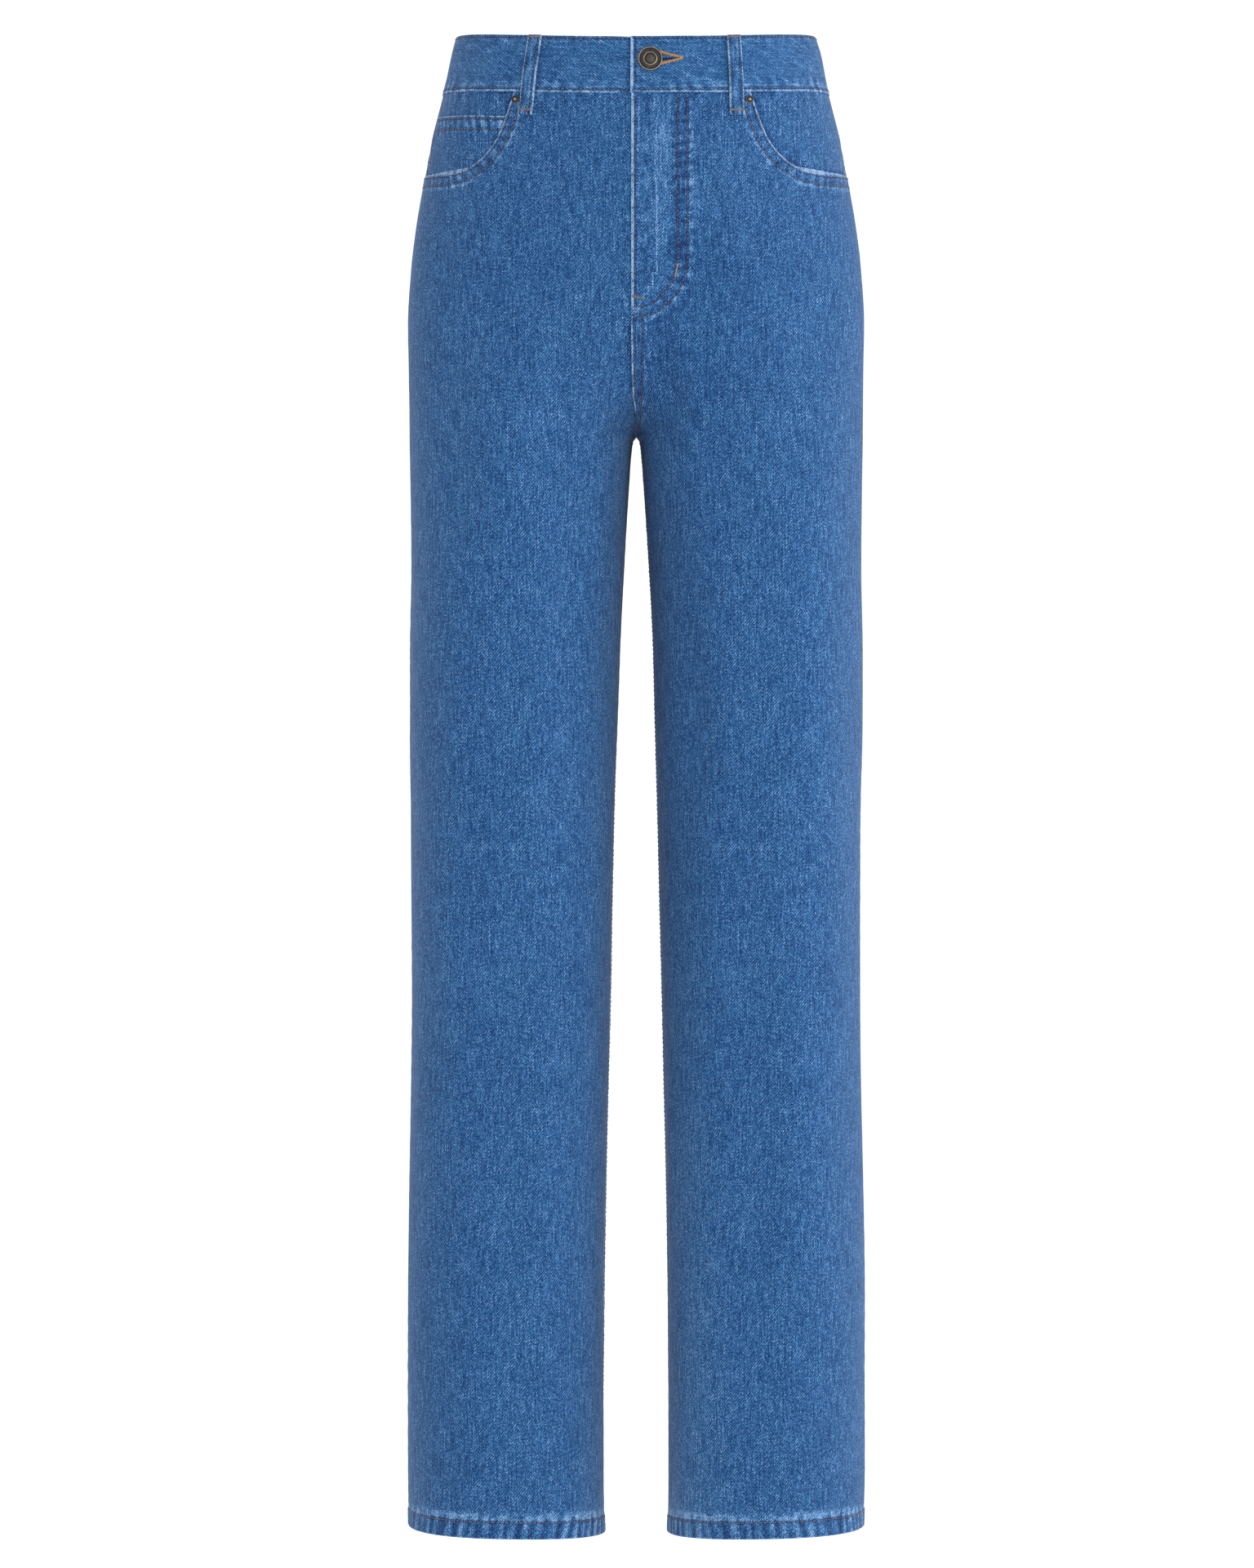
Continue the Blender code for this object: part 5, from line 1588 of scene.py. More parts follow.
class Thread:
    """Collects stitches and makes them one joined mesh."""

    def __init__(self, sizes):
        self.sizes = sizes
        self.stitches = []

    def add(self, centres, outs, radius, shade, spread, seed):
        """Stitches from the middles of their rings, each of a slightly different shade."""
        count = len(centres)
        cells = np.arange(count) + spread * (len(self.stitches) + 1)
        tint = shade + TINT_SPREAD * (scatter(cells, seed) - 0.5)
        self.stitches.append((centres, outs, np.full(count, radius), tint))

    def along(self, points, outs, shade=0.5):
        """Stitches one after another along a path of points on the cloth."""
        gap = self.sizes.stitch_gap
        stops = lengths_along(points)
        count = max(1, int(round(stops[-1] / (self.sizes.stitch_length + gap))))
        pitch = stops[-1] / count
        at = (np.arange(count) * pitch)[:, None] + (pitch - gap) * RING_PLACES + gap / 2.0
        centres, outs = (np.stack([np.interp(at, stops, values[:, k]) for k in range(3)], -1)
                         for values in (points, outs))
        self.add(centres, outs, self.sizes.thread_radius, shade, 13.0, 5.0)

    def across(self, starts, ends, outs, radius, shade):
        """One stitch from each start to its end."""
        share = RING_PLACES[None, :, None]
        centres = starts[:, None] * (1.0 - share) + ends[:, None] * share
        outs = np.repeat(outs[:, None], len(RING_PLACES), axis=1)
        self.add(centres, outs, radius, shade, 29.0, 6.0)

    def build(self, name, material):
        """The joined mesh."""
        centres, outs, radii, shades = (np.concatenate(part) for part in zip(*self.stitches))
        count, rings = centres.shape[:2]
        across = unit(np.cross(unit(np.gradient(centres, axis=1)), outs))
        size = (radii[:, None] * RING_SIZES)[..., None]
        middle = centres + outs * (radii[:, None] * RING_HEIGHTS)[..., None]
        turns = 2.0 * math.pi * (np.arange(THREAD_SIDES) + 0.5) / THREAD_SIDES
        points = middle[:, :, None] + (
            across[:, :, None] * (size * np.cos(turns) * THREAD_WIDTH)[..., None]
            + outs[:, :, None] * (size * np.sin(turns))[..., None])
        ring = np.arange(count * rings * THREAD_SIDES).reshape(count, rings, THREAD_SIDES)
        onward = np.roll(ring, -1, axis=2)
        walls = np.stack((ring[:, :-1], onward[:, :-1], onward[:, 1:], ring[:, 1:]), axis=-1)
        faces = walls.reshape(-1, 4).tolist()
        faces += ring[:, 0, ::-1].tolist() + ring[:, -1].tolist()
        length = np.linalg.norm(centres[:, -1] - centres[:, 0], axis=1)
        plan = np.stack(np.broadcast_arrays(
            (RING_PLACES * length[:, None])[..., None], turns[None, None, :]), axis=-1)
        tone = np.zeros(points.shape)
        tone[..., 0] = shades[:, None, None]
        # Painted shade, strongest at a stitch's two ends, where it sinks into the cloth
        tone[..., 1] = (np.abs(RING_PLACES - 0.5) * 2.0)[None, :, None]
        add_mesh(name, points.reshape(-1, 3), faces, material, plan.reshape(-1, 2),
                 [("tone", tone.reshape(-1, 3))])


def sew(thread, panel, path, shade=0.5):
    """A row of stitches along a flat path on a panel."""
    path = np.asarray(path, float)
    steps = lengths_along(path)
    stops = np.linspace(0.0, steps[-1], max(8, int(steps[-1] / 0.0010)))
    level, drop = (np.interp(stops, steps, path[:, i]) for i in (0, 1))
    thread.along(*panel.face.place(around_of(level, drop), drop), shade)


def bar(thread, panel, start, end, width, shade):
    """A bar tack on a panel: close stitches across a short line between flat places."""
    start, end = np.asarray(start, float), np.asarray(end, float)
    length = float(np.linalg.norm(end - start))
    share = np.linspace(0.0, 1.0, max(4, int(length / BAR_PITCH)))[:, None]
    middle = start + (end - start) * share
    side = np.array((-(end - start)[1], (end - start)[0])) / length * width / 2.0
    lean = (end - start) / length * BAR_PITCH / 2.0
    (first, _), (last, outs) = (
        panel.face.place(around_of(flat[:, 0], flat[:, 1]), flat[:, 1], 0.0001)
        for flat in (middle - side - lean, middle + side + lean))
    thread.across(first, last, outs, BAR_THREAD, shade)


def hem_row(thread, panel, first, last):
    """The hem's row of stitches."""
    around = np.linspace(first, last, 260)
    thread.along(*panel.face.place(around, HEM_DROP - HEM_ROW), 0.62)


def down_rows(level_at, drops):
    """A path that keeps to a level which changes with the drop."""
    return np.stack((level_at(drops), drops), axis=1)


def sew_front(thread, panel, side):
    """All rows on a front."""
    hem_row(thread, panel, 0.006, OUTSEAM - 0.004)
    mouth = mouth_path(side, 90)
    for offset in MOUTH_ROWS:
        row = offset_path(mouth, offset)
        row = row[(row[:, 1] > BAND_HEIGHT + 0.0012)]
        row = row[row[:, 0] < side_level(row[:, 1]) - 0.0008]
        sew(thread, panel, row)
    if side == RIGHT:
        return
    fly = np.linspace(BAND_HEIGHT + 0.0015, FLY_FOOT - 0.0020, 40)
    fell = np.linspace(FLY_FOOT - 0.0020, CROTCH_DROP - 0.0030, 40)
    for offset, drops, shade in ((FLY_ROW, fly, 0.3), (FELL_ROWS[0], fell, 0.35),
                                 (FELL_ROWS[1], fell, 0.35)):
        sew(thread, panel, down_rows(lambda d: offset - lap_reach(LEFT, d), drops), shade)
    for offset in (-FLY_HALF, FLY_HALF):
        row = offset_path(fly_path(), offset)
        row[:, 1] = np.maximum(row[:, 1], BAND_HEIGHT + 0.0012)
        sew(thread, panel, row[row[:, 0] > 0.0006 - LAP], 0.45)
    bar(thread, panel, *TURN_BAR, 0.0013, 0.85)
    bar(thread, panel, *FOOT_BAR, 0.0012, 0.60)


def sew_back(thread, panel, side):
    """All rows on a back: hem, felled inseam and, on one side, the felled centre seam."""
    hem_row(thread, panel, OUTSEAM + 0.004, 0.994)
    leg = np.linspace(CROTCH_DROP + 0.0030, HEM_DROP - HEM_HEIGHT - 0.0010, 300)
    seat = np.linspace(BAND_HEIGHT + YOKE_AT_BACK + 0.0020, CROTCH_DROP - 0.0035, 90)
    for offset in DOUBLE_ROWS:
        sew(thread, panel, down_rows(lambda d: level_of(1.0, d) - offset, leg), 0.35)
        if side == LEFT:
            sew(thread, panel, down_rows(lambda d: level_of(1.0, d) - offset, seat), 0.4)


def sew_yoke(thread, panel, side):
    """The yoke's two rows above its seam, and its share of the centre rows."""
    around = np.linspace(OUTSEAM + 0.006, 0.9985, 160)
    drop = np.linspace(BAND_HEIGHT + 0.0015, BAND_HEIGHT + YOKE_AT_BACK - 0.0012, 40)
    for offset in DOUBLE_ROWS:
        thread.along(*panel.face.place(around, yoke_seam(around) - offset))
        if side == LEFT:
            sew(thread, panel, down_rows(lambda d: level_of(1.0, d) - offset, drop), 0.45)


def inset(path, distance):
    """A path of straight runs moved sideways, with its corners kept."""
    step = np.diff(path, axis=0)
    side = np.stack((-step[:, 1], step[:, 0]), axis=1)
    side = side / np.linalg.norm(side, axis=1, keepdims=True) * distance
    corners = [path[0] + side[0]]
    for i in range(1, len(step)):
        turn = np.stack((step[i - 1], -step[i]), axis=1)
        share = np.linalg.solve(turn, (path[i] + side[i]) - (path[i - 1] + side[i - 1]))
        corners.append(path[i - 1] + side[i - 1] + step[i - 1] * share[0])
    return np.array(corners + [path[-1] + side[-1]])


def patch_to_level(path):
    """Turns distances from the centre back into levels, with points along every run."""
    share = np.linspace(0.0, 1.0, 30)[:, None]
    path = np.concatenate([a + (b - a) * share for a, b in zip(path[:-1], path[1:])])
    return np.stack((level_of(1.0, path[:, 1]) - path[:, 0], path[:, 1]), axis=1)


def sew_patch(thread, panel):
    """Two rows round a back pocket, two on its hem and bars at its corners."""
    outline = patch_outline()
    for offset in PATCH_ROWS:
        row = inset(outline, -offset)
        row[0, 1] = row[-1, 1] = POCKET_TOP + 0.0012
        sew(thread, panel, patch_to_level(row))
    first, last = outline[0, 0] + 0.0016, outline[-1, 0] - 0.0016
    for offset in PATCH_HEM_ROWS:
        row = np.array(((first, POCKET_TOP + offset), (last, POCKET_TOP + offset)))
        sew(thread, panel, patch_to_level(row))
    for x, lean in ((outline[0, 0] + 0.0012, 1.0), (outline[-1, 0] - 0.0012, -1.0)):
        ends = np.array(((x, POCKET_TOP + 0.0010), (x + 0.0004 * lean, POCKET_TOP + 0.0100)))
        ends[:, 0] = level_of(1.0, ends[:, 1]) - ends[:, 0]
        bar(thread, panel, *ends, 0.0016, 0.85)


def sew_coin(thread, panel):
    """The coin pocket's rows."""
    side_edge, _ = coin_edges(RIGHT)
    top = BAND_HEIGHT + COIN_TOP
    mouth = mouth_path(RIGHT, 90)[:45]
    for offset in COIN_ROWS:
        drop = top + offset
        edge = float(np.interp(drop, mouth[:, 1], mouth[:, 0])) + COIN_CLEARANCE
        sew(thread, panel, ((edge + 0.0008, drop), (side_edge - 0.0010, drop)))
    around = float(around_of(side_edge, top))
    drops = np.linspace(top + 0.0030, top + 0.0330, 20)
    sew(thread, panel, down_rows(lambda d: level_of(around, d) - COIN_SIDE_ROW, drops), 0.35)


def sew_band(thread, sizes):
    """Rows along both edges of the waistband and at the end on top."""
    for side in (LEFT, RIGHT):
        first = BAND_END_ROW - BAND_TOP_LAP if side == LEFT else 0.0046
        total = float(level_of(1.0, BAND_MIDDLE)) - 0.0010
        around = around_of(np.linspace(first, total, 360), BAND_MIDDLE)
        for drop in (BAND_ROW, BAND_HEIGHT - BAND_ROW):
            thread.along(*band_place(side, around, drop, sizes), 0.42)
    drop = np.linspace(BAND_ROW + 0.0020, BAND_HEIGHT - BAND_ROW - 0.0020, 40)
    around = around_of(BAND_END_ROW - BAND_TOP_LAP, BAND_MIDDLE)
    thread.along(*band_place(LEFT, around, drop, sizes), 0.3)


def sew_loop(thread, loop):
    """Two rows down a belt loop and a bar across each end."""
    down = np.linspace(0.03, 0.97, 60)
    for side in (-1.0, 1.0):
        places = loop.places(down, side * (LOOP_WIDTH / 2.0 - LOOP_ROW))
        thread.along(*loop.face.place(*places, -0.0003), 0.3)
    half = LOOP_WIDTH / 2.0 - 0.0006
    across = np.linspace(-half, half, int(2.0 * half / BAR_PITCH))
    for middle, tall in ((0.030, 0.022), (0.945, 0.024)):
        (first, _), (last, outs) = (
            loop.face.place(*loop.places(middle + way * tall / 2.0, across + way * 0.00015),
                            0.0002)
            for way in (-1.0, 1.0))
        thread.across(first, last, outs, LOOP_THREAD, 0.55)


def sew_buttonhole(thread, sizes):
    """Close stitches on both lips of the buttonhole, which narrow to a point."""
    middle = BUTTON_DROP - 0.0008

    def lip(level, reach, proud):
        return band_place(LEFT, around_of(level, BAND_MIDDLE), middle + reach, sizes, proud)

    x = np.arange(HOLE_START, HOLE_END, 0.00042)
    share = (x - HOLE_START) / (HOLE_END - HOLE_START)
    inner = 0.0001 + 0.0031 * np.maximum(0.0, 1.0 - share / 0.82)
    outer = 0.0011 + 0.0046 * (1.0 - share) ** 0.95 + 0.0002 * ripple(x / 0.0009, 91.0)
    for way in (-1.0, 1.0):
        first, outs = lip(x, way * inner, 0.0002)
        last, _ = lip(x + 0.0004, way * outer, 0.0002)
        thread.across(first, last, outs, HOLE_THREAD, 0.62)
    tip = np.linspace(HOLE_END - 0.0012, HOLE_END + 0.0008, 6)
    (first, _), (last, outs) = lip(tip, -0.0012, 0.0003), lip(tip, 0.0012, 0.0003)
    thread.across(first, last, outs, TIP_THREAD, 0.7)


# Finishes


def maths(operation, swapped=False):
    """A method of Wire that adds one Math node."""
    def method(self, *others):
        values = (*others, self) if swapped else (self, *others)
        return self.finish.node("ShaderNodeMath", {"operation": operation}, enumerate(values))
    return method


class Wire:
    """One value on its way through a finish. Arithmetic on it adds Math nodes."""

    def __init__(self, finish, socket):
        self.finish = finish
        self.socket = socket

    __add__ = __radd__ = maths("ADD")
    __sub__ = maths("SUBTRACT")
    __rsub__ = maths("SUBTRACT", swapped=True)
    __mul__ = __rmul__ = maths("MULTIPLY")
    sine = maths("SINE")
    floor = maths("FLOOR")
    size = maths("ABSOLUTE")
    least = maths("MINIMUM")
    most = maths("MAXIMUM")

    def step(self, low, high):
        """0 below low, 1 above high, soft between them."""
        return self.finish.node(
            "ShaderNodeMapRange", {"interpolation_type": "SMOOTHSTEP"},
            (("Value", self), ("From Min", low), ("From Max", high)),
        )


class Finish:
    """A material in the making."""

    def __init__(self, name, **constants):
        self.material = bpy.data.materials.new(name)
        self.material.use_nodes = True
        self.nodes = self.material.node_tree.nodes
        self.links = self.material.node_tree.links
        self.shader = self.nodes["Principled BSDF"]
        for label, value in constants.items():
            label = label.replace("_", " ").title().replace("Ior", "IOR")
            self.shader.inputs[label].default_value = value

    def node(self, kind, settings, values=(), output=0):
        """Adds one node: its settings first, then the values or links of its sockets."""
        node = self.nodes.new(kind)
        for label, value in settings.items():
            setattr(node, label, value)
        for label, value in values:
            if isinstance(value, Wire):
                self.links.new(value.socket, node.inputs[label])
            else:
                node.inputs[label].default_value = value
        return Wire(self, node.outputs[output])

    def mark(self, name):
        """The three numbers of a mark on the mesh."""
        return self.split(self.node("ShaderNodeAttribute", {"attribute_name": name}, output=1))

    def map(self):
        """Metres across and along the cloth."""
        return self.split(self.node("ShaderNodeUVMap", {"uv_map": "cloth"}))[:2]

    def split(self, vector):
        parts = self.nodes.new("ShaderNodeSeparateXYZ")
        self.links.new(vector.socket, parts.inputs[0])
        return [Wire(self, output) for output in parts.outputs]

    def join(self, x, y, z=0.0):
        return self.node("ShaderNodeCombineXYZ", {}, (("X", x), ("Y", y), ("Z", z)))

    def noise(self, x, y, z=0.0, detail=1.0, roughness=0.5):
        """Noise from 0 to 1, about one wave for each unit."""
        values = (("Vector", self.join(x, y, z)), ("Scale", 1.0), ("Detail", detail),
                  ("Roughness", roughness))
        return self.node("ShaderNodeTexNoise", {"noise_dimensions": "3D"}, values)

    def speck(self, x, y):
        """A steady value from 0 to 1 for every pair of whole numbers."""
        values = (("Vector", self.join(x.floor(), y.floor())),)
        return self.node("ShaderNodeTexWhiteNoise", {"noise_dimensions": "2D"}, values)

    def ramp(self, value, stops):
        """A colour for every value, between stops of place and linear colour."""
        ramp = self.nodes.new("ShaderNodeValToRGB")
        for i, (place, colour) in enumerate(stops):
            stop = ramp.color_ramp.elements[i] if i < 2 else ramp.color_ramp.elements.new(place)
            stop.position = place
            stop.color = (*colour, 1.0)
        self.links.new(value.socket, ramp.inputs[0])
        return Wire(self, ramp.outputs[0])

    def blend(self, share, first, second):
        """Two colours mixed."""
        values = []
        for place, value in ((0, share), (6, first), (7, second)):
            values.append((place, value if isinstance(value, (Wire, float)) else (*value, 1.0)))
        return self.node("ShaderNodeMix", {"data_type": "RGBA"}, values, output=2)

    def bump(self, height, distance, strength=1.0):
        """A fine relief."""
        values = (("Height", height), ("Distance", distance), ("Strength", strength))
        return self.node("ShaderNodeBump", {}, values)

    def surface(self, **wires):
        """Feeds the shader and gives the material."""
        for label, wire in wires.items():
            self.links.new(wire.socket, self.shader.inputs[label.replace("_", " ").title()])
        return self.material


# Threads in a metre of cloth, across and along it, and how far each yarn's floats lie
# below those of the yarn beside it, in threads
YARNS, PICKS, TWILL_STEP = 1280.0, 760.0, 0.71


def denim(name, colours, lift=0.0, drag=0.0, coarse=1.0):
    """Stonewashed denim. lift makes it paler; drag is the strength of slanting wear marks;
    coarse is the contrast of its yarns."""
    finish = Finish(name, specular_ior_level=0.2, sheen_weight=0.05, sheen_roughness=0.6)
    u, v = finish.map()
    along, edge, pucker = finish.mark("seam")
    row_a, row_b, wear_and_shade = finish.mark("rows")
    shade, reverse, glow = finish.mark("tone")

    # Yarns stepped like the twill, each a little different; uneven threads; faded patches
    yarn = u * YARNS
    floats = finish.speck(yarn, v * PICKS + yarn.floor() * TWILL_STEP)
    grain = finish.noise(u * 1250.0, v * 1000.0, 3.0, detail=1.0, roughness=0.7)
    streak = finish.noise(u * 850.0, v * 50.0, 1.0, detail=1.0)
    patch = finish.noise(u * 260.0, v * 130.0, 2.0, detail=1.0)
    mottle = finish.noise(u * 34.0, v * 16.0, 5.0, detail=1.0)
    cloud = finish.noise(along * 170.0, edge * 150.0, 6.0, detail=1.0)
    chips = finish.noise(along * 420.0, edge * 500.0, 9.0)
    twill = (v * 2730.0 + u * 3300.0 + streak * 4.0 + patch * 3.0).sine()

    tone = 0.368 + lift + (floats - 0.5) * (0.40 * coarse) + (grain - 0.5) * (1.5 * coarse)
    tone = tone + (streak - 0.5) * (0.65 * coarse) + twill * (patch.step(0.20, 0.70) * 0.26)
    # shade adds the panel's painted light and shade
    tone = tone + (patch - 0.5) * 0.12 + (mottle - 0.5) * 0.10 + shade
    if drag:
        marks = finish.noise(u * 480.0 + v * 230.0, v * 60.0, 7.0, detail=2.0)
        tone = tone + (marks - 0.5) * drag + marks.step(0.56, 0.70) * (drag * 0.22)

    # Along seams: painted highlight and shade on the puckers, a pale edge of wear, a dark line at
    # each row of stitches
    near = 1.0 - edge.size().step(0.009, 0.016)
    # Swells painted paler and troughs darker: painted highlight and shade, partly the fade of real
    # roping
    tone = tone + pucker * (0.16 + cloud * 0.22) + near * (cloud - 0.5) * 0.36
    tone = tone + glow * (cloud.step(0.25, 0.65) * 1.2 + (chips - 0.5) * 1.2)
    wear = wear_and_shade.most(0.0)
    reach = edge + (chips - 0.5) * 0.0012 - (wear - 1.0).most(0.0) * 0.0008
    frayed = 0.14 + chips.step(0.20, 0.70) * 0.38 + (wear - 1.0).most(0.0) * 0.12
    tone = tone + (1.0 - reach.step(0.0004, 0.0014)) * wear.least(1.2) * frayed
    # Painted shade on cloth under an overlapping edge, where the third number of the rows mark is
    # negative
    tone = tone - (1.0 - edge.step(0.0, 0.006)) * (0.0 - wear_and_shade).most(0.0) * 0.22
    # A dark line of painted shadow in each stitch groove, with the unfaded indigo there, and a
    # pale band 1.9 mm beside it
    for row in (row_a, row_b):
        tone = tone - (1.0 - row.size().step(0.0003, 0.0012)) * 0.30
        tone = tone + (1.0 - (row - 0.0019).size().step(0.0003, 0.0016)) * cloud * 0.16

    outside = finish.ramp(tone, (
        (0.0, colours.deep), (1.0, colours.white), (0.20, colours.dark), (0.40, colours.middle),
        (0.60, colours.light), (0.80, colours.pale),
    ))
    back = finish.noise(u * 700.0, v * 700.0, 8.0, detail=1.0)
    inside = finish.ramp(back * 0.4 + (streak - 0.5) * 0.5 + 0.15 + floats * 0.3, (
        (0.15, colours.light), (0.85, colours.reverse),
    ))
    colour = finish.blend(reverse.step(0.2, 0.8), outside, inside)
    height = streak * 0.4 + grain * 0.4 + floats * 0.25
    return finish.surface(base_color=colour, roughness=0.82 + grain * 0.14,
                          normal=finish.bump(height, 0.00030, 0.6))


def thread_finish(name, dark, pale):
    """Two-ply sewing thread, paler in the middle of each stitch and painted darker, as in shade,
    towards its ends where it sinks into the cloth.
    """
    finish = Finish(name, roughness=0.6, sheen_weight=0.15)
    s, turn = finish.map()
    shade, ends = finish.mark("tone")[:2]
    ply = (s * 9000.0 + turn).sine()
    fuzz = finish.noise(s * 3000.0, turn * 2.0, 1.0, detail=1.0)
    # Painted shade towards the ends of each stitch
    tone = shade + (fuzz - 0.5) * 0.5 + ply * 0.14 - ends * 0.30
    colour = finish.ramp(tone, ((0.0, dark), (1.0, pale)))
    return finish.surface(base_color=colour, roughness=0.55 + fuzz * 0.2,
                          normal=finish.bump(ply, 0.00012, 0.6))


def metal_finish(name, dark, pale, rough=0.40):
    """Old metal: pale where it rubs, dark and dull in the hollows."""
    finish = Finish(name, metallic=1.0)
    x, y, z = finish.split(finish.node("ShaderNodeTexCoord", {}, output=3))
    patina = finish.noise(x * 260.0, y * 260.0, z * 260.0, detail=2.0)
    fine = finish.noise(x * 5200.0, y * 5200.0, z * 5200.0, detail=1.0)
    rub = finish.mark("tone")[0]
    tone = rub + (patina - 0.5) * 0.30 + (fine - 0.5) * 0.16
    colour = finish.ramp(tone, ((0.1, dark), (0.95, pale)))
    return finish.surface(base_color=colour, roughness=rough + (fine - 0.5) * 0.16,
                          normal=finish.bump(fine, 0.00003, 0.3))


def tape_finish(name, colour, pale):
    """Woven zip tape."""
    finish = Finish(name, roughness=0.85, sheen_weight=0.1)
    x, y, z = finish.split(finish.node("ShaderNodeTexCoord", {}, output=3))
    rib = ((x + z) * 6000.0).sine() * ((x - z) * 6000.0).sine()
    weave = finish.noise(x * 1500.0, y * 1500.0, z * 700.0, detail=2.0)
    shade = finish.ramp(weave + rib * 0.15, ((0.25, colour), (0.9, pale)))
    return finish.surface(base_color=shade, roughness=0.75 + weave * 0.2,
                          normal=finish.bump(rib + weave, 0.00015, 0.6))


# Settings


def length(name, description, default, high=1.0):
    """A length in metres that a user may change."""
    return bpy.props.FloatProperty(name=name, description=description, default=default,
                                   min=0.0, max=high, precision=5, unit="LENGTH")


def number(name, description, default, unit):
    """Any other number that a user may change."""
    return bpy.props.FloatProperty(name=name, description=description, default=default,
                                   unit=unit)


def tint(name, description, default):
    """A linear colour that a user may change."""
    return bpy.props.FloatVectorProperty(name=name, description=description, default=default,
                                         size=3, min=0.0, max=1.0, subtype="COLOR")


class JeansSizes(bpy.types.PropertyGroup):
    """Sizes of the sewing on the jeans."""

    pucker: length("Pucker height", "Height of the puckers along the seams", 0.00032, 0.002)
    stitch_length: length("Stitch length", "Length of one stitch", 0.0027, 0.01)
    stitch_gap: length("Stitch gap", "Gap between two stitches", 0.0005, 0.005)
    thread_radius: length("Thread radius", "Half the width of the thread", 0.00026, 0.002)


class JeansColours(bpy.types.PropertyGroup):
    """Colours of the denim, thread and metal."""

    # The deep blue also serves for painted shade in pucker troughs, at rows of stitches and under
    # overlapping edges
    deep: tint("Deep blue", "Denim in seams and hollows", (0.000, 0.016, 0.078))
    dark: tint("Dark blue", "Darker yarns", (0.004, 0.042, 0.142))
    middle: tint("Middle blue", "The denim's general colour", (0.012, 0.075, 0.208))
    light: tint("Light blue", "Faded yarns", (0.035, 0.127, 0.296))
    pale: tint("Pale blue", "Bare weft", (0.088, 0.208, 0.402))
    white: tint("Worn", "Worn edges", (0.230, 0.355, 0.555))
    reverse: tint("Reverse", "The cloth's inner face", (0.480, 0.560, 0.640))
    thread_dark: tint("Thread, dark", "Sewing thread in shade", (0.035, 0.022, 0.016))
    thread_pale: tint("Thread, pale", "Sewing thread on top", (0.350, 0.215, 0.125))
    tan_dark: tint("Tan thread, dark", "Buttonhole thread in shade", (0.090, 0.040, 0.018))
    tan_pale: tint("Tan thread, pale", "Buttonhole thread on top", (0.500, 0.265, 0.105))
    metal_dark: tint("Metal, dark", "Old metal in hollows", (0.022, 0.021, 0.022))
    metal_pale: tint("Metal, pale", "Rubbed metal", (0.270, 0.235, 0.190))
    brass_dark: tint("Brass, dark", "Brass in hollows", (0.110, 0.070, 0.025))
    brass_pale: tint("Brass, pale", "Rubbed brass", (0.640, 0.480, 0.240))
    tape_dark: tint("Tape, dark", "Zip tape", (0.012, 0.022, 0.055))
    tape_pale: tint("Tape, pale", "Zip tape's raised weave", (0.045, 0.075, 0.140))
    floor: tint("Floor", "The studio floor", (0.97, 0.97, 0.97))


class JeansStudio(bpy.types.PropertyGroup):
    """Camera and light."""

    distance: length("Camera distance", "From the camera to the middle of the jeans", 4.2, 20.0)
    camera_x: number("Camera X", "Place across", -0.0063, "LENGTH")
    camera_z: number("Camera height", "Place upright", WAIST_TOP - 0.5215, "LENGTH")
    lens: number("Focal length", "In millimetres", 137.8, "CAMERA")
    key: number("Key light", "Power of the main light", 36.0, "POWER")
    side: number("Side light", "Power of the light beside", 34.0, "POWER")
    fill: number("Back light", "Power of the light behind", 16.0, "POWER")
    floor_gap: length("Floor gap", "How far the hems hang above the floor", 0.120, 1.0)


# Fittings: radius, height above the cloth, and how far each ring is rubbed bright

BUTTON_FACE = np.array((
    (0.0000, -0.0036, 0.1), (0.0022, -0.0036, 0.1), (0.0022, 0.0000, 0.1),
    (0.0070, 0.0000, 0.1), (0.0079, 0.0001, 0.2), (0.0083, 0.0004, 0.3),
    (0.0085, 0.0009, 0.6), (0.0085, 0.0014, 0.9), (0.0083, 0.0018, 1.0),
    (0.0080, 0.0021, 1.0), (0.0077, 0.0021, 0.8), (0.0075, 0.0019, 0.3),
    (0.0073, 0.0017, 0.0), (0.0064, 0.00172, 0.2), (0.0055, 0.0017, 0.2),
    (0.0050, 0.0017, 0.1), (0.0048, 0.0019, 0.5), (0.0045, 0.0021, 0.9),
    (0.0042, 0.0021, 0.9), (0.0040, 0.0019, 0.4), (0.0038, 0.0016, 0.0),
    (0.0030, 0.00165, 0.2), (0.0018, 0.0018, 0.3), (0.0000, 0.0019, 0.3),
))
RIVET_FACE = np.array((
    (0.0000, 0.0000, 0.1), (0.0025, 0.0000, 0.1), (0.0028, 0.0002, 0.2),
    (0.0029, 0.0004, 0.4), (0.0028, 0.0006, 0.5), (0.0026, 0.0008, 0.4),
    (0.0022, 0.0009, 0.2), (0.0018, 0.0008, 0.0), (0.0015, 0.0007, 0.0),
    (0.0013, 0.0009, 0.3), (0.0011, 0.0012, 0.6), (0.0008, 0.0014, 0.8),
    (0.0004, 0.0015, 0.9), (0.0000, 0.0016, 0.9),
))
AXIS_RADIUS = 0.000005
SMOOTH_ANGLE = math.radians(40.0)
TEETH_TOP = BAND_HEIGHT + 0.0170
TEETH_FOOT = BAND_HEIGHT + ZIP_LENGTH - 0.0020
TOOTH_SHIFT = 0.0007
TOOTH_LIFT = 0.0004
TOOTH_RUB = 0.45
SLIDER_DROP = BAND_HEIGHT + 0.0100
TAPE_TOP = BAND_HEIGHT + 0.003


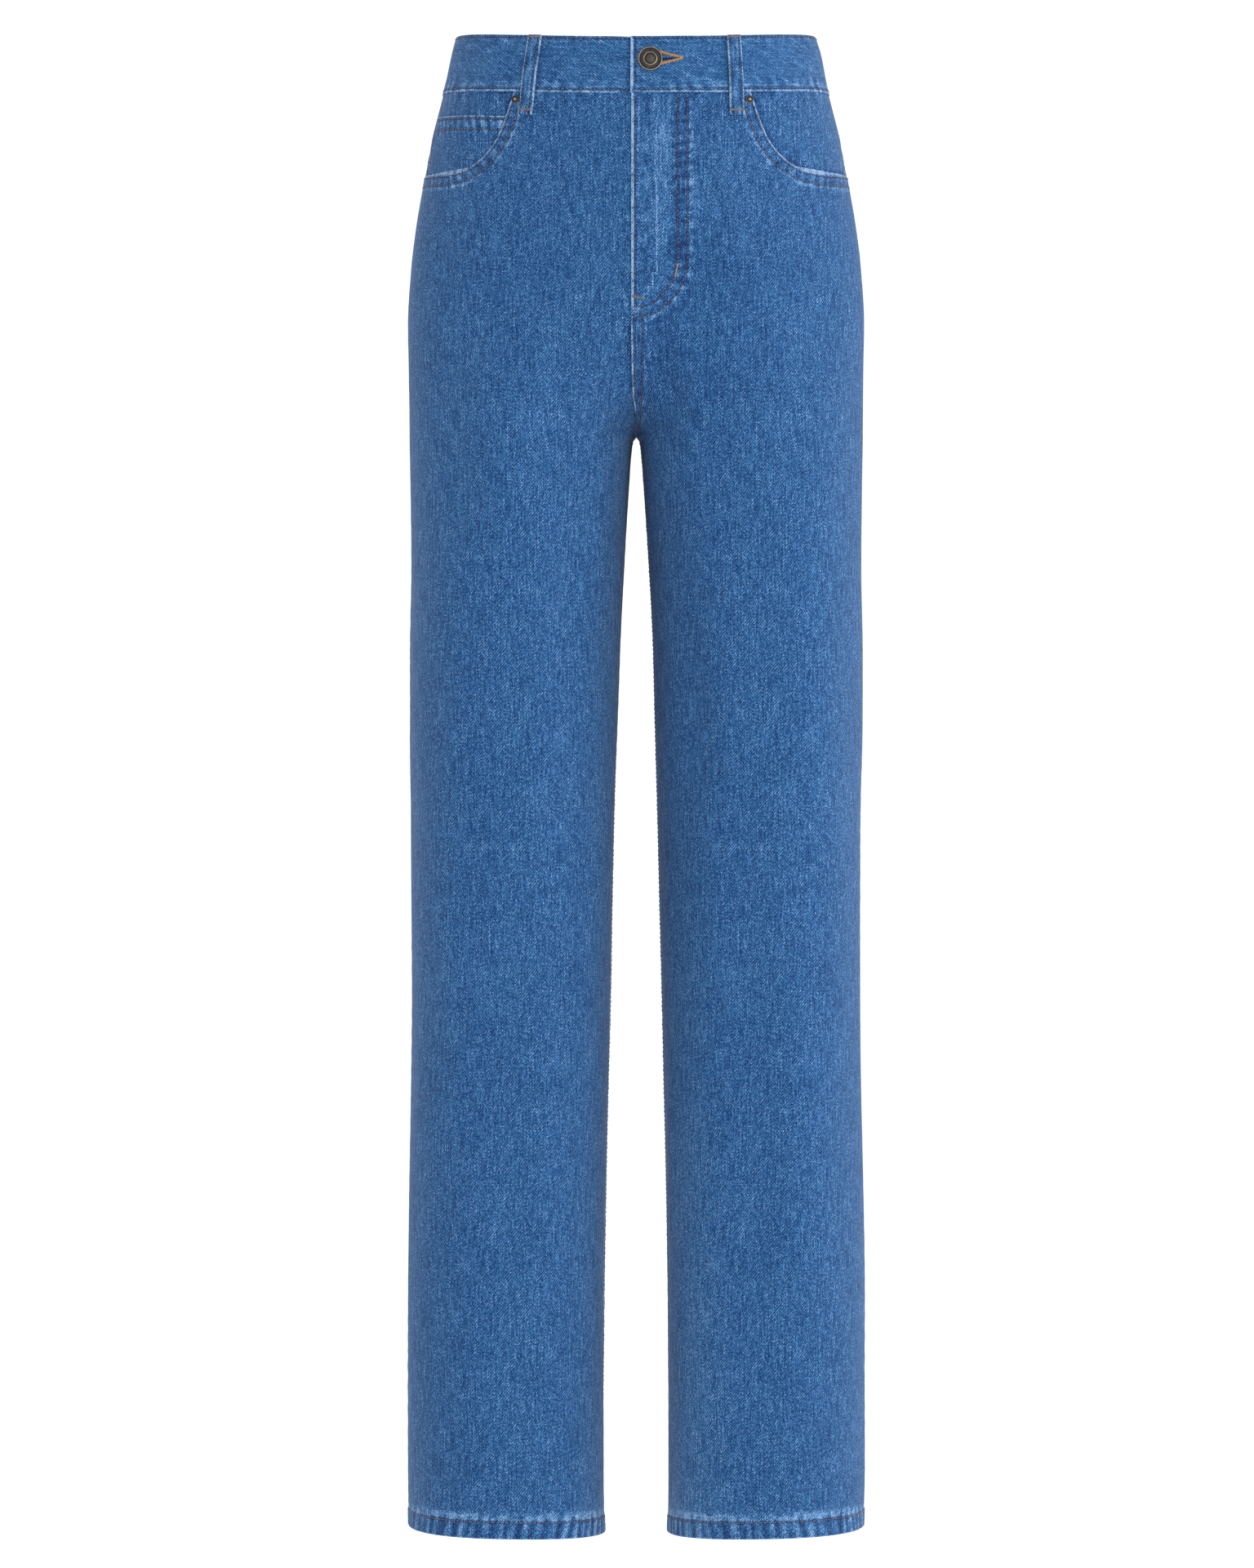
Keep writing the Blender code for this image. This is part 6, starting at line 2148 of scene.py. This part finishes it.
def place_on(side, around, drop, lift):
    """Frame that stands on the form: Z points out of the cloth, X lies level in it."""
    base = form(around, drop) * hand(side)
    out = Vector(normal(around, drop) * hand(side)).normalized()
    level = Vector((0.0, 0.0, 1.0)).cross(out).normalized()
    up = out.cross(level)
    frame_on = Matrix((level, up, out)).transposed().to_4x4()
    return Matrix.Translation(Vector(base) + out * lift) @ frame_on


def start_piece(name):
    """Names the new primitive and opens it for editing with everything selected."""
    piece = bpy.context.object
    piece.name = name
    bpy.ops.object.transform_apply(location=True, rotation=True, scale=True)
    bpy.ops.object.mode_set(mode="EDIT")
    bpy.ops.mesh.select_all(action="SELECT")
    return piece


def end_piece(piece, place, material, rubbed):
    """Cleans a modelled piece, moves its mesh to its place and finishes it. rubbed says how
    bright the metal is at points of the piece."""
    bpy.ops.mesh.select_all(action="SELECT")
    bpy.ops.mesh.remove_doubles(threshold=0.00002)
    bpy.ops.mesh.normals_make_consistent(inside=False)
    bpy.ops.object.mode_set(mode="OBJECT")
    bpy.ops.object.shade_smooth_by_angle(angle=SMOOTH_ANGLE)
    points = np.array([vertex.co for vertex in piece.data.vertices])
    add_mark(piece.data, "tone", triple(rubbed(points), 0.0, 0.0))
    piece.data.transform(place)
    piece.data.materials.clear()
    piece.data.materials.append(material)
    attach(piece, "root")
    piece.select_set(False)
    return piece


def turned(name, profile, steps, place, material):
    """A turned fitting: a ring drawn out and widened from one point of its profile to
    the next."""
    bpy.ops.object.select_all(action="DESELECT")
    rings = [(max(radius, AXIS_RADIUS), height) for radius, height in profile[:, :2]]
    bpy.ops.mesh.primitive_circle_add(
        vertices=steps, radius=rings[0][0], location=(0.0, 0.0, rings[0][1]))
    piece = start_piece(name)
    for (r0, h0), (r1, h1) in zip(rings[:-1], rings[1:]):
        bpy.ops.mesh.extrude_region_move(TRANSFORM_OT_translate={"value": (0.0, 0.0, h1 - h0)})
        bpy.ops.transform.resize(value=(r1 / r0, r1 / r0, 1.0), center_override=(0.0, 0.0, h1))

    def rubbed(points):
        ring = np.stack((np.hypot(points[:, 0], points[:, 1]), points[:, 2]), axis=1)
        gap = np.linalg.norm(ring[:, None] - profile[None, :, :2], axis=2)
        return profile[gap.argmin(axis=1), 2]

    return end_piece(piece, place, material, rubbed)


def add_teeth(name, material):
    """The zip's closed chain: one tooth modelled, then set down both sides in turn."""
    bpy.ops.object.select_all(action="DESELECT")
    bpy.ops.mesh.primitive_cube_add(size=1.0)
    bpy.ops.transform.resize(value=TOOTH)
    tooth = start_piece("tooth")
    bpy.ops.mesh.bevel(offset=0.00022, segments=1, affect="EDGES")
    bpy.ops.object.mode_set(mode="OBJECT")
    model = np.array([vertex.co for vertex in tooth.data.vertices])
    model_faces = [list(face.vertices) for face in tooth.data.polygons]
    bpy.data.objects.remove(tooth, do_unlink=True)
    points, faces = [], []
    for i, drop in enumerate(np.arange(TEETH_TOP, TEETH_FOOT, TOOTH_PITCH)):
        shift = TOOTH_SHIFT if i % 2 else -TOOTH_SHIFT
        around = float(around_of(ZIP_CENTRE + shift, drop))
        place = np.array(place_on(LEFT, around, float(drop), TOOTH_LIFT - ZIP_DEPTH))
        points.append(model @ place[:3, :3].T + place[:3, 3])
        faces += [[v + i * len(model) for v in face] for face in model_faces]
    points = np.concatenate(points)
    tone = triple(np.full(len(points), TOOTH_RUB), 0.0, 0.0)
    add_mesh(name, points, faces, material, None, [("tone", tone)])


def add_slider(name, material):
    """The slider: a waisted plate with a raised bridge and a pull tab."""
    bpy.ops.object.select_all(action="DESELECT")
    bpy.ops.mesh.primitive_cube_add(size=1.0, location=(0.0, 0.0, 0.0))
    bpy.ops.transform.resize(value=(SLIDER_WIDTH, SLIDER_LENGTH, SLIDER_PLATE))
    piece = start_piece(name)
    bpy.ops.mesh.subdivide(number_cuts=4)
    bpy.ops.mesh.select_all(action="DESELECT")
    bpy.ops.object.mode_set(mode="OBJECT")
    for vertex in piece.data.vertices:
        along = vertex.co.y / SLIDER_LENGTH
        vertex.co.x *= 1.0 - 0.45 * smooth_step(-0.1, 0.5, -along) - 0.15 * abs(along)
    for face in piece.data.polygons:
        face.select = face.normal.z > 0.9 and abs(face.center.x) < 0.0016
    bpy.ops.object.mode_set(mode="EDIT")
    bpy.ops.mesh.extrude_region_move(TRANSFORM_OT_translate={"value": (0.0, 0.0, 0.0005)})
    bpy.ops.transform.resize(value=(0.7, 0.8, 1.0), center_override=(0.0, 0.0, 0.0))
    bpy.ops.mesh.select_all(action="SELECT")
    bpy.ops.mesh.bevel(offset=0.00015, segments=1, affect="EDGES")
    bpy.ops.mesh.select_all(action="DESELECT")
    tab = (0.0, -SLIDER_LENGTH / 2.0 - TAB_LENGTH / 2.0 - 0.0006, 0.0)
    bpy.ops.mesh.primitive_cube_add(size=1.0, location=tab)
    bpy.ops.transform.resize(value=(TAB_WIDTH, TAB_LENGTH, SLIDER_PLATE), center_override=tab)
    bpy.ops.mesh.bevel(offset=0.0002, segments=2, affect="EDGES")
    around = float(around_of(ZIP_CENTRE, SLIDER_DROP))
    place = place_on(LEFT, around, SLIDER_DROP, SLIDER_PLATE + CHAIN_PROUD - ZIP_DEPTH)
    return end_piece(piece, place, material, lambda points: 0.4 + 0.4 * (points[:, 2] > 0.0003))


# Making the pieces


class Kit:
    """Finishes and panels that more than one operator uses."""

    finishes = {}
    panels = {}
    loops = []


def finish_of(label, colours):
    """A finish, made the first time it is asked for."""
    makers = {
        "denim": lambda: denim("denim", colours),
        "facing_denim": lambda: denim("facing_denim", colours, lift=0.02),
        "band_denim": lambda: denim("band_denim", colours, 0.040, 0.38, 0.75),
        "loop_denim": lambda: denim("loop_denim", colours, 0.04, 0.0, 0.75),
        "thread": lambda: thread_finish("thread", colours.thread_dark, colours.thread_pale),
        "tan_thread": lambda: thread_finish("tan_thread", colours.tan_dark, colours.tan_pale),
        "old_metal": lambda: metal_finish("old_metal", colours.metal_dark, colours.metal_pale),
        "brass": lambda: metal_finish("brass", colours.brass_dark, colours.brass_pale, 0.35),
        "tape": lambda: tape_finish("tape", colours.tape_dark, colours.tape_pale),
    }
    if label not in Kit.finishes:
        Kit.finishes[label] = makers[label]()
    return Kit.finishes[label]


def settings(context):
    """The sizes and colours in use."""
    return context.scene.jeans_sizes, context.scene.jeans_colours


class OBJECT_OT_jeans_fronts(bpy.types.Operator):
    """Make both fronts, with the fly's lap, the pocket mouths and the hems"""

    bl_idname = "object.jeans_fronts"
    bl_label = "Fronts"

    def execute(self, context):
        sizes, colours = settings(context)
        cloth = finish_of("denim", colours)
        for label, side in SIDES:
            Panel("front_%s_cloth" % label, side, front_grid(side), front_seams, front_rise,
                  sizes, FRONT, panel_thickness, front_painted_light_and_shade,
                  folded=(2, 4, 5) if side == LEFT else (2, 4)).build(cloth, "front_" + label)
        return {"FINISHED"}


class OBJECT_OT_jeans_backs(bpy.types.Operator):
    """Make both backs and yokes"""

    bl_idname = "object.jeans_backs"
    bl_label = "Backs and yokes"

    def execute(self, context):
        sizes, colours = settings(context)
        cloth = finish_of("denim", colours)
        for label, side in SIDES:
            Panel("back_%s_cloth" % label, side, back_grid(), back_seams, hem_rise, sizes,
                  BACK, panel_thickness, inner_leg_painted_light, folded=(4,)).build(cloth, "back_" + label)
            Panel("yoke_%s_cloth" % label, side, yoke_grid(), yoke_seams, no_rise, sizes,
                  BACK, folded=(2,)).build(cloth, "yoke_" + label)
        return {"FINISHED"}


class OBJECT_OT_jeans_pockets(bpy.types.Operator):
    """Make the pocket facings, the coin pocket and the back pockets"""

    bl_idname = "object.jeans_pockets"
    bl_label = "Pockets"

    def execute(self, context):
        sizes, colours = settings(context)
        cloth = finish_of("denim", colours)
        facing = finish_of("facing_denim", colours)
        for label, side in SIDES:
            Panel("facing_%s_cloth" % label, side, facing_grid(side), facing_seams,
                  facing_rise, sizes, FRONT).build(facing, "pocket_facing_" + label)
            Panel("back_pocket_%s_cloth" % label, side, patch_grid(), patch_seams, patch_rise,
                  sizes, BACK, folded=(0,)).build(cloth, "back_pocket_" + label)
        Panel("coin_pocket_cloth", RIGHT, coin_grid(RIGHT), coin_seams, coin_rise, sizes,
              FRONT, folded=(0, 1)).build(cloth, "coin_pocket")
        return {"FINISHED"}


class OBJECT_OT_jeans_waistband(bpy.types.Operator):
    """Make the waistband and the belt loops"""

    bl_idname = "object.jeans_waistband"
    bl_label = "Waistband and loops"

    def execute(self, context):
        sizes, colours = settings(context)
        add_band(sizes, finish_of("band_denim", colours))
        Kit.loops = all_loops()
        for loop in Kit.loops:
            loop.build(sizes, finish_of("loop_denim", colours))
        return {"FINISHED"}


class OBJECT_OT_jeans_fly(bpy.types.Operator):
    """Make the fly shield, the zip's tape, its teeth and its slider"""

    bl_idname = "object.jeans_fly"
    bl_label = "Fly"

    def execute(self, context):
        sizes, colours = settings(context)
        shield = strip_grid(SHIELD_EDGE, SHIELD_REACH, BAND_HEIGHT + SEAM_GAP,
                            BAND_HEIGHT + FLY_LENGTH, columns=41, rows=91)
        Panel("fly_shield_cloth", LEFT, shield, strip_seams(SHIELD_EDGE, SHIELD_REACH),
              shield_rise, sizes, FRONT, soft=False).build(
                  finish_of("facing_denim", colours), "fly_shield")
        tape = strip_grid(*ZIP_EDGES, TAPE_TOP, BAND_HEIGHT + ZIP_LENGTH, columns=21, rows=61)
        Panel("zip_tape", LEFT, tape, strip_seams(*ZIP_EDGES), tape_rise, sizes, FRONT, TAPE,
              soft=False).build(finish_of("tape", colours), "zip_chain")
        add_teeth("zip_teeth", finish_of("brass", colours))
        slider = add_slider("zip_slider_metal", finish_of("brass", colours))
        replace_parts(slider, "zip_slider")
        return {"FINISHED"}


class OBJECT_OT_jeans_fittings(bpy.types.Operator):
    """Make the button and the two rivets, and give the button's tack the same metal"""

    bl_idname = "object.jeans_fittings"
    bl_label = "Button and rivets"

    def execute(self, context):
        metal = finish_of("old_metal", context.scene.jeans_colours)
        around = around_at_x(BUTTON_X, BUTTON_DROP)
        place = place_on(LEFT, around, BUTTON_DROP, BAND_PROUD + SEAM_GAP)
        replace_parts(turned("button_metal", BUTTON_FACE, 64, place, metal), "button")
        for label, side in SIDES:
            around = around_at_x(RIVET_X[side], RIVET_DROP)
            place = place_on(side, around, RIVET_DROP, SEAM_GAP)
            rivet = turned("rivet_%s_metal" % label, RIVET_FACE, 32, place, metal)
            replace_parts(rivet, "rivet_" + label)
        for slot in bpy.data.objects["button_tack"].material_slots:
            slot.material = metal
        return {"FINISHED"}


class OBJECT_OT_jeans_stitching(bpy.types.Operator):
    """Sew every row of stitches, the bars and the buttonhole"""

    bl_idname = "object.jeans_stitching"
    bl_label = "Stitching"

    def execute(self, context):
        sizes, colours = settings(context)
        made = Kit.panels
        brown = finish_of("thread", colours)
        for label, side in SIDES:
            front = Thread(sizes)
            sew_front(front, made["front_%s_cloth" % label], side)
            if side == RIGHT:
                sew_coin(front, made["coin_pocket_cloth"])
            front.build("stitches_front_" + label, brown)
            back = Thread(sizes)
            sew_back(back, made["back_%s_cloth" % label], side)
            sew_yoke(back, made["yoke_%s_cloth" % label], side)
            sew_patch(back, made["back_pocket_%s_cloth" % label])
            back.build("stitches_back_" + label, brown)
        band = Thread(sizes)
        sew_band(band, sizes)
        for loop in Kit.loops:
            sew_loop(band, loop)
        band.build("stitches_waistband", brown)
        hole = Thread(sizes)
        sew_buttonhole(hole, sizes)
        hole.build("buttonhole_thread", finish_of("tan_thread", colours))
        return {"FINISHED"}


# Every light's name, place and size, and the setting that holds its power
LIGHTS = (
    ("key_light", (1.7, -3.1, 0.5), (1.0, 2.0), "key"),
    ("side_light", (3.0, -0.7, 0.0), (1.0, 2.2), "side"),
    ("back_light", (-1.4, 2.8, 1.0), (2.0, 1.6), "fill"),
)
LIT_POINT = Vector((0.0, 0.0, -0.5))
WORLD_STRENGTH = 1.08
FLOOR_SIZE = 40.0
SENSOR_WIDTH = 36.0


def add_light(name, place, size, power):
    """A soft light with a flat face, turned to the middle of the jeans."""
    light = bpy.data.lights.new(name, "AREA")
    light.shape = "RECTANGLE"
    light.size, light.size_y = size
    light.energy = power
    lamp = bpy.data.objects.new(name, light)
    lamp.location = place
    bpy.context.scene.collection.objects.link(lamp)
    lamp.rotation_euler = (LIT_POINT - lamp.location).to_track_quat("-Z", "Y").to_euler()


class OBJECT_OT_jeans_studio(bpy.types.Operator):
    """Set up the camera, the lights and a plain pale floor"""

    bl_idname = "object.jeans_studio"
    bl_label = "Studio"

    def execute(self, context):
        studio = context.scene.jeans_studio
        colours = context.scene.jeans_colours
        bpy.ops.object.select_all(action="DESELECT")
        lowest = CAD_BOX[0][2] - studio.floor_gap
        bpy.ops.mesh.primitive_plane_add(size=FLOOR_SIZE, location=(0.0, 0.0, lowest))
        floor = context.object
        floor.name = "studio_floor"
        paint = Finish("studio_floor", roughness=0.9)
        x, y = paint.split(paint.node("ShaderNodeTexCoord", {}, output=3))[:2]
        grain = paint.noise(x * 6.0, y * 6.0, 0.0, detail=2.0)
        pale = tuple(colours.floor)
        shade = paint.ramp(grain, ((0.2, tuple(c * 0.985 for c in pale)), (0.8, pale)))
        floor.data.materials.append(paint.surface(base_color=shade))

        world = bpy.data.worlds.new("studio")
        world.use_nodes = True
        background = world.node_tree.nodes["Background"]
        background.inputs["Color"].default_value = (1.0, 1.0, 1.0, 1.0)
        background.inputs["Strength"].default_value = WORLD_STRENGTH
        context.scene.world = world

        for name, place, size, power in LIGHTS:
            add_light(name, place, size, getattr(studio, power))

        lens = bpy.data.cameras.new("camera")
        lens.lens = studio.lens
        lens.sensor_width = SENSOR_WIDTH
        lens.dof.use_dof = False
        camera = bpy.data.objects.new("camera", lens)
        camera.location = (studio.camera_x, -studio.distance, studio.camera_z)
        camera.rotation_euler = (math.pi / 2.0, 0.0, 0.0)
        context.scene.collection.objects.link(camera)
        context.scene.camera = camera
        context.scene.view_settings.view_transform = "Standard"
        return {"FINISHED"}


class VIEW3D_PT_jeans(bpy.types.Panel):
    """Lists the steps that make the jeans, and their settings"""

    bl_label = "Jeans"
    bl_idname = "VIEW3D_PT_jeans"
    bl_space_type = "VIEW_3D"
    bl_region_type = "UI"
    bl_category = "Jeans"

    def draw(self, context):
        for step in STEPS:
            self.layout.operator(step.bl_idname)
        for group in (context.scene.jeans_sizes, context.scene.jeans_colours,
                      context.scene.jeans_studio):
            box = self.layout.box()
            for name in group.__annotations__:
                box.prop(group, name)


STEPS = (
    OBJECT_OT_jeans_fronts,
    OBJECT_OT_jeans_backs,
    OBJECT_OT_jeans_pockets,
    OBJECT_OT_jeans_waistband,
    OBJECT_OT_jeans_fly,
    OBJECT_OT_jeans_fittings,
    OBJECT_OT_jeans_stitching,
    OBJECT_OT_jeans_studio,
)
GROUPS = {"jeans_sizes": JeansSizes, "jeans_colours": JeansColours, "jeans_studio": JeansStudio}
CLASSES = (*GROUPS.values(), *STEPS, VIEW3D_PT_jeans)


def register():
    for item in CLASSES:
        bpy.utils.register_class(item)
    for name, group in GROUPS.items():
        setattr(bpy.types.Scene, name, bpy.props.PointerProperty(type=group))


def unregister():
    for name in GROUPS:
        delattr(bpy.types.Scene, name)
    for item in reversed(CLASSES):
        bpy.utils.unregister_class(item)


def main():
    """Makes every piece in order."""
    register()
    bpy.ops.object.select_all(action="DESELECT")
    for step in STEPS:
        group, name = step.bl_idname.split(".")
        getattr(getattr(bpy.ops, group), name)()


if __name__ == "__main__":
    main()
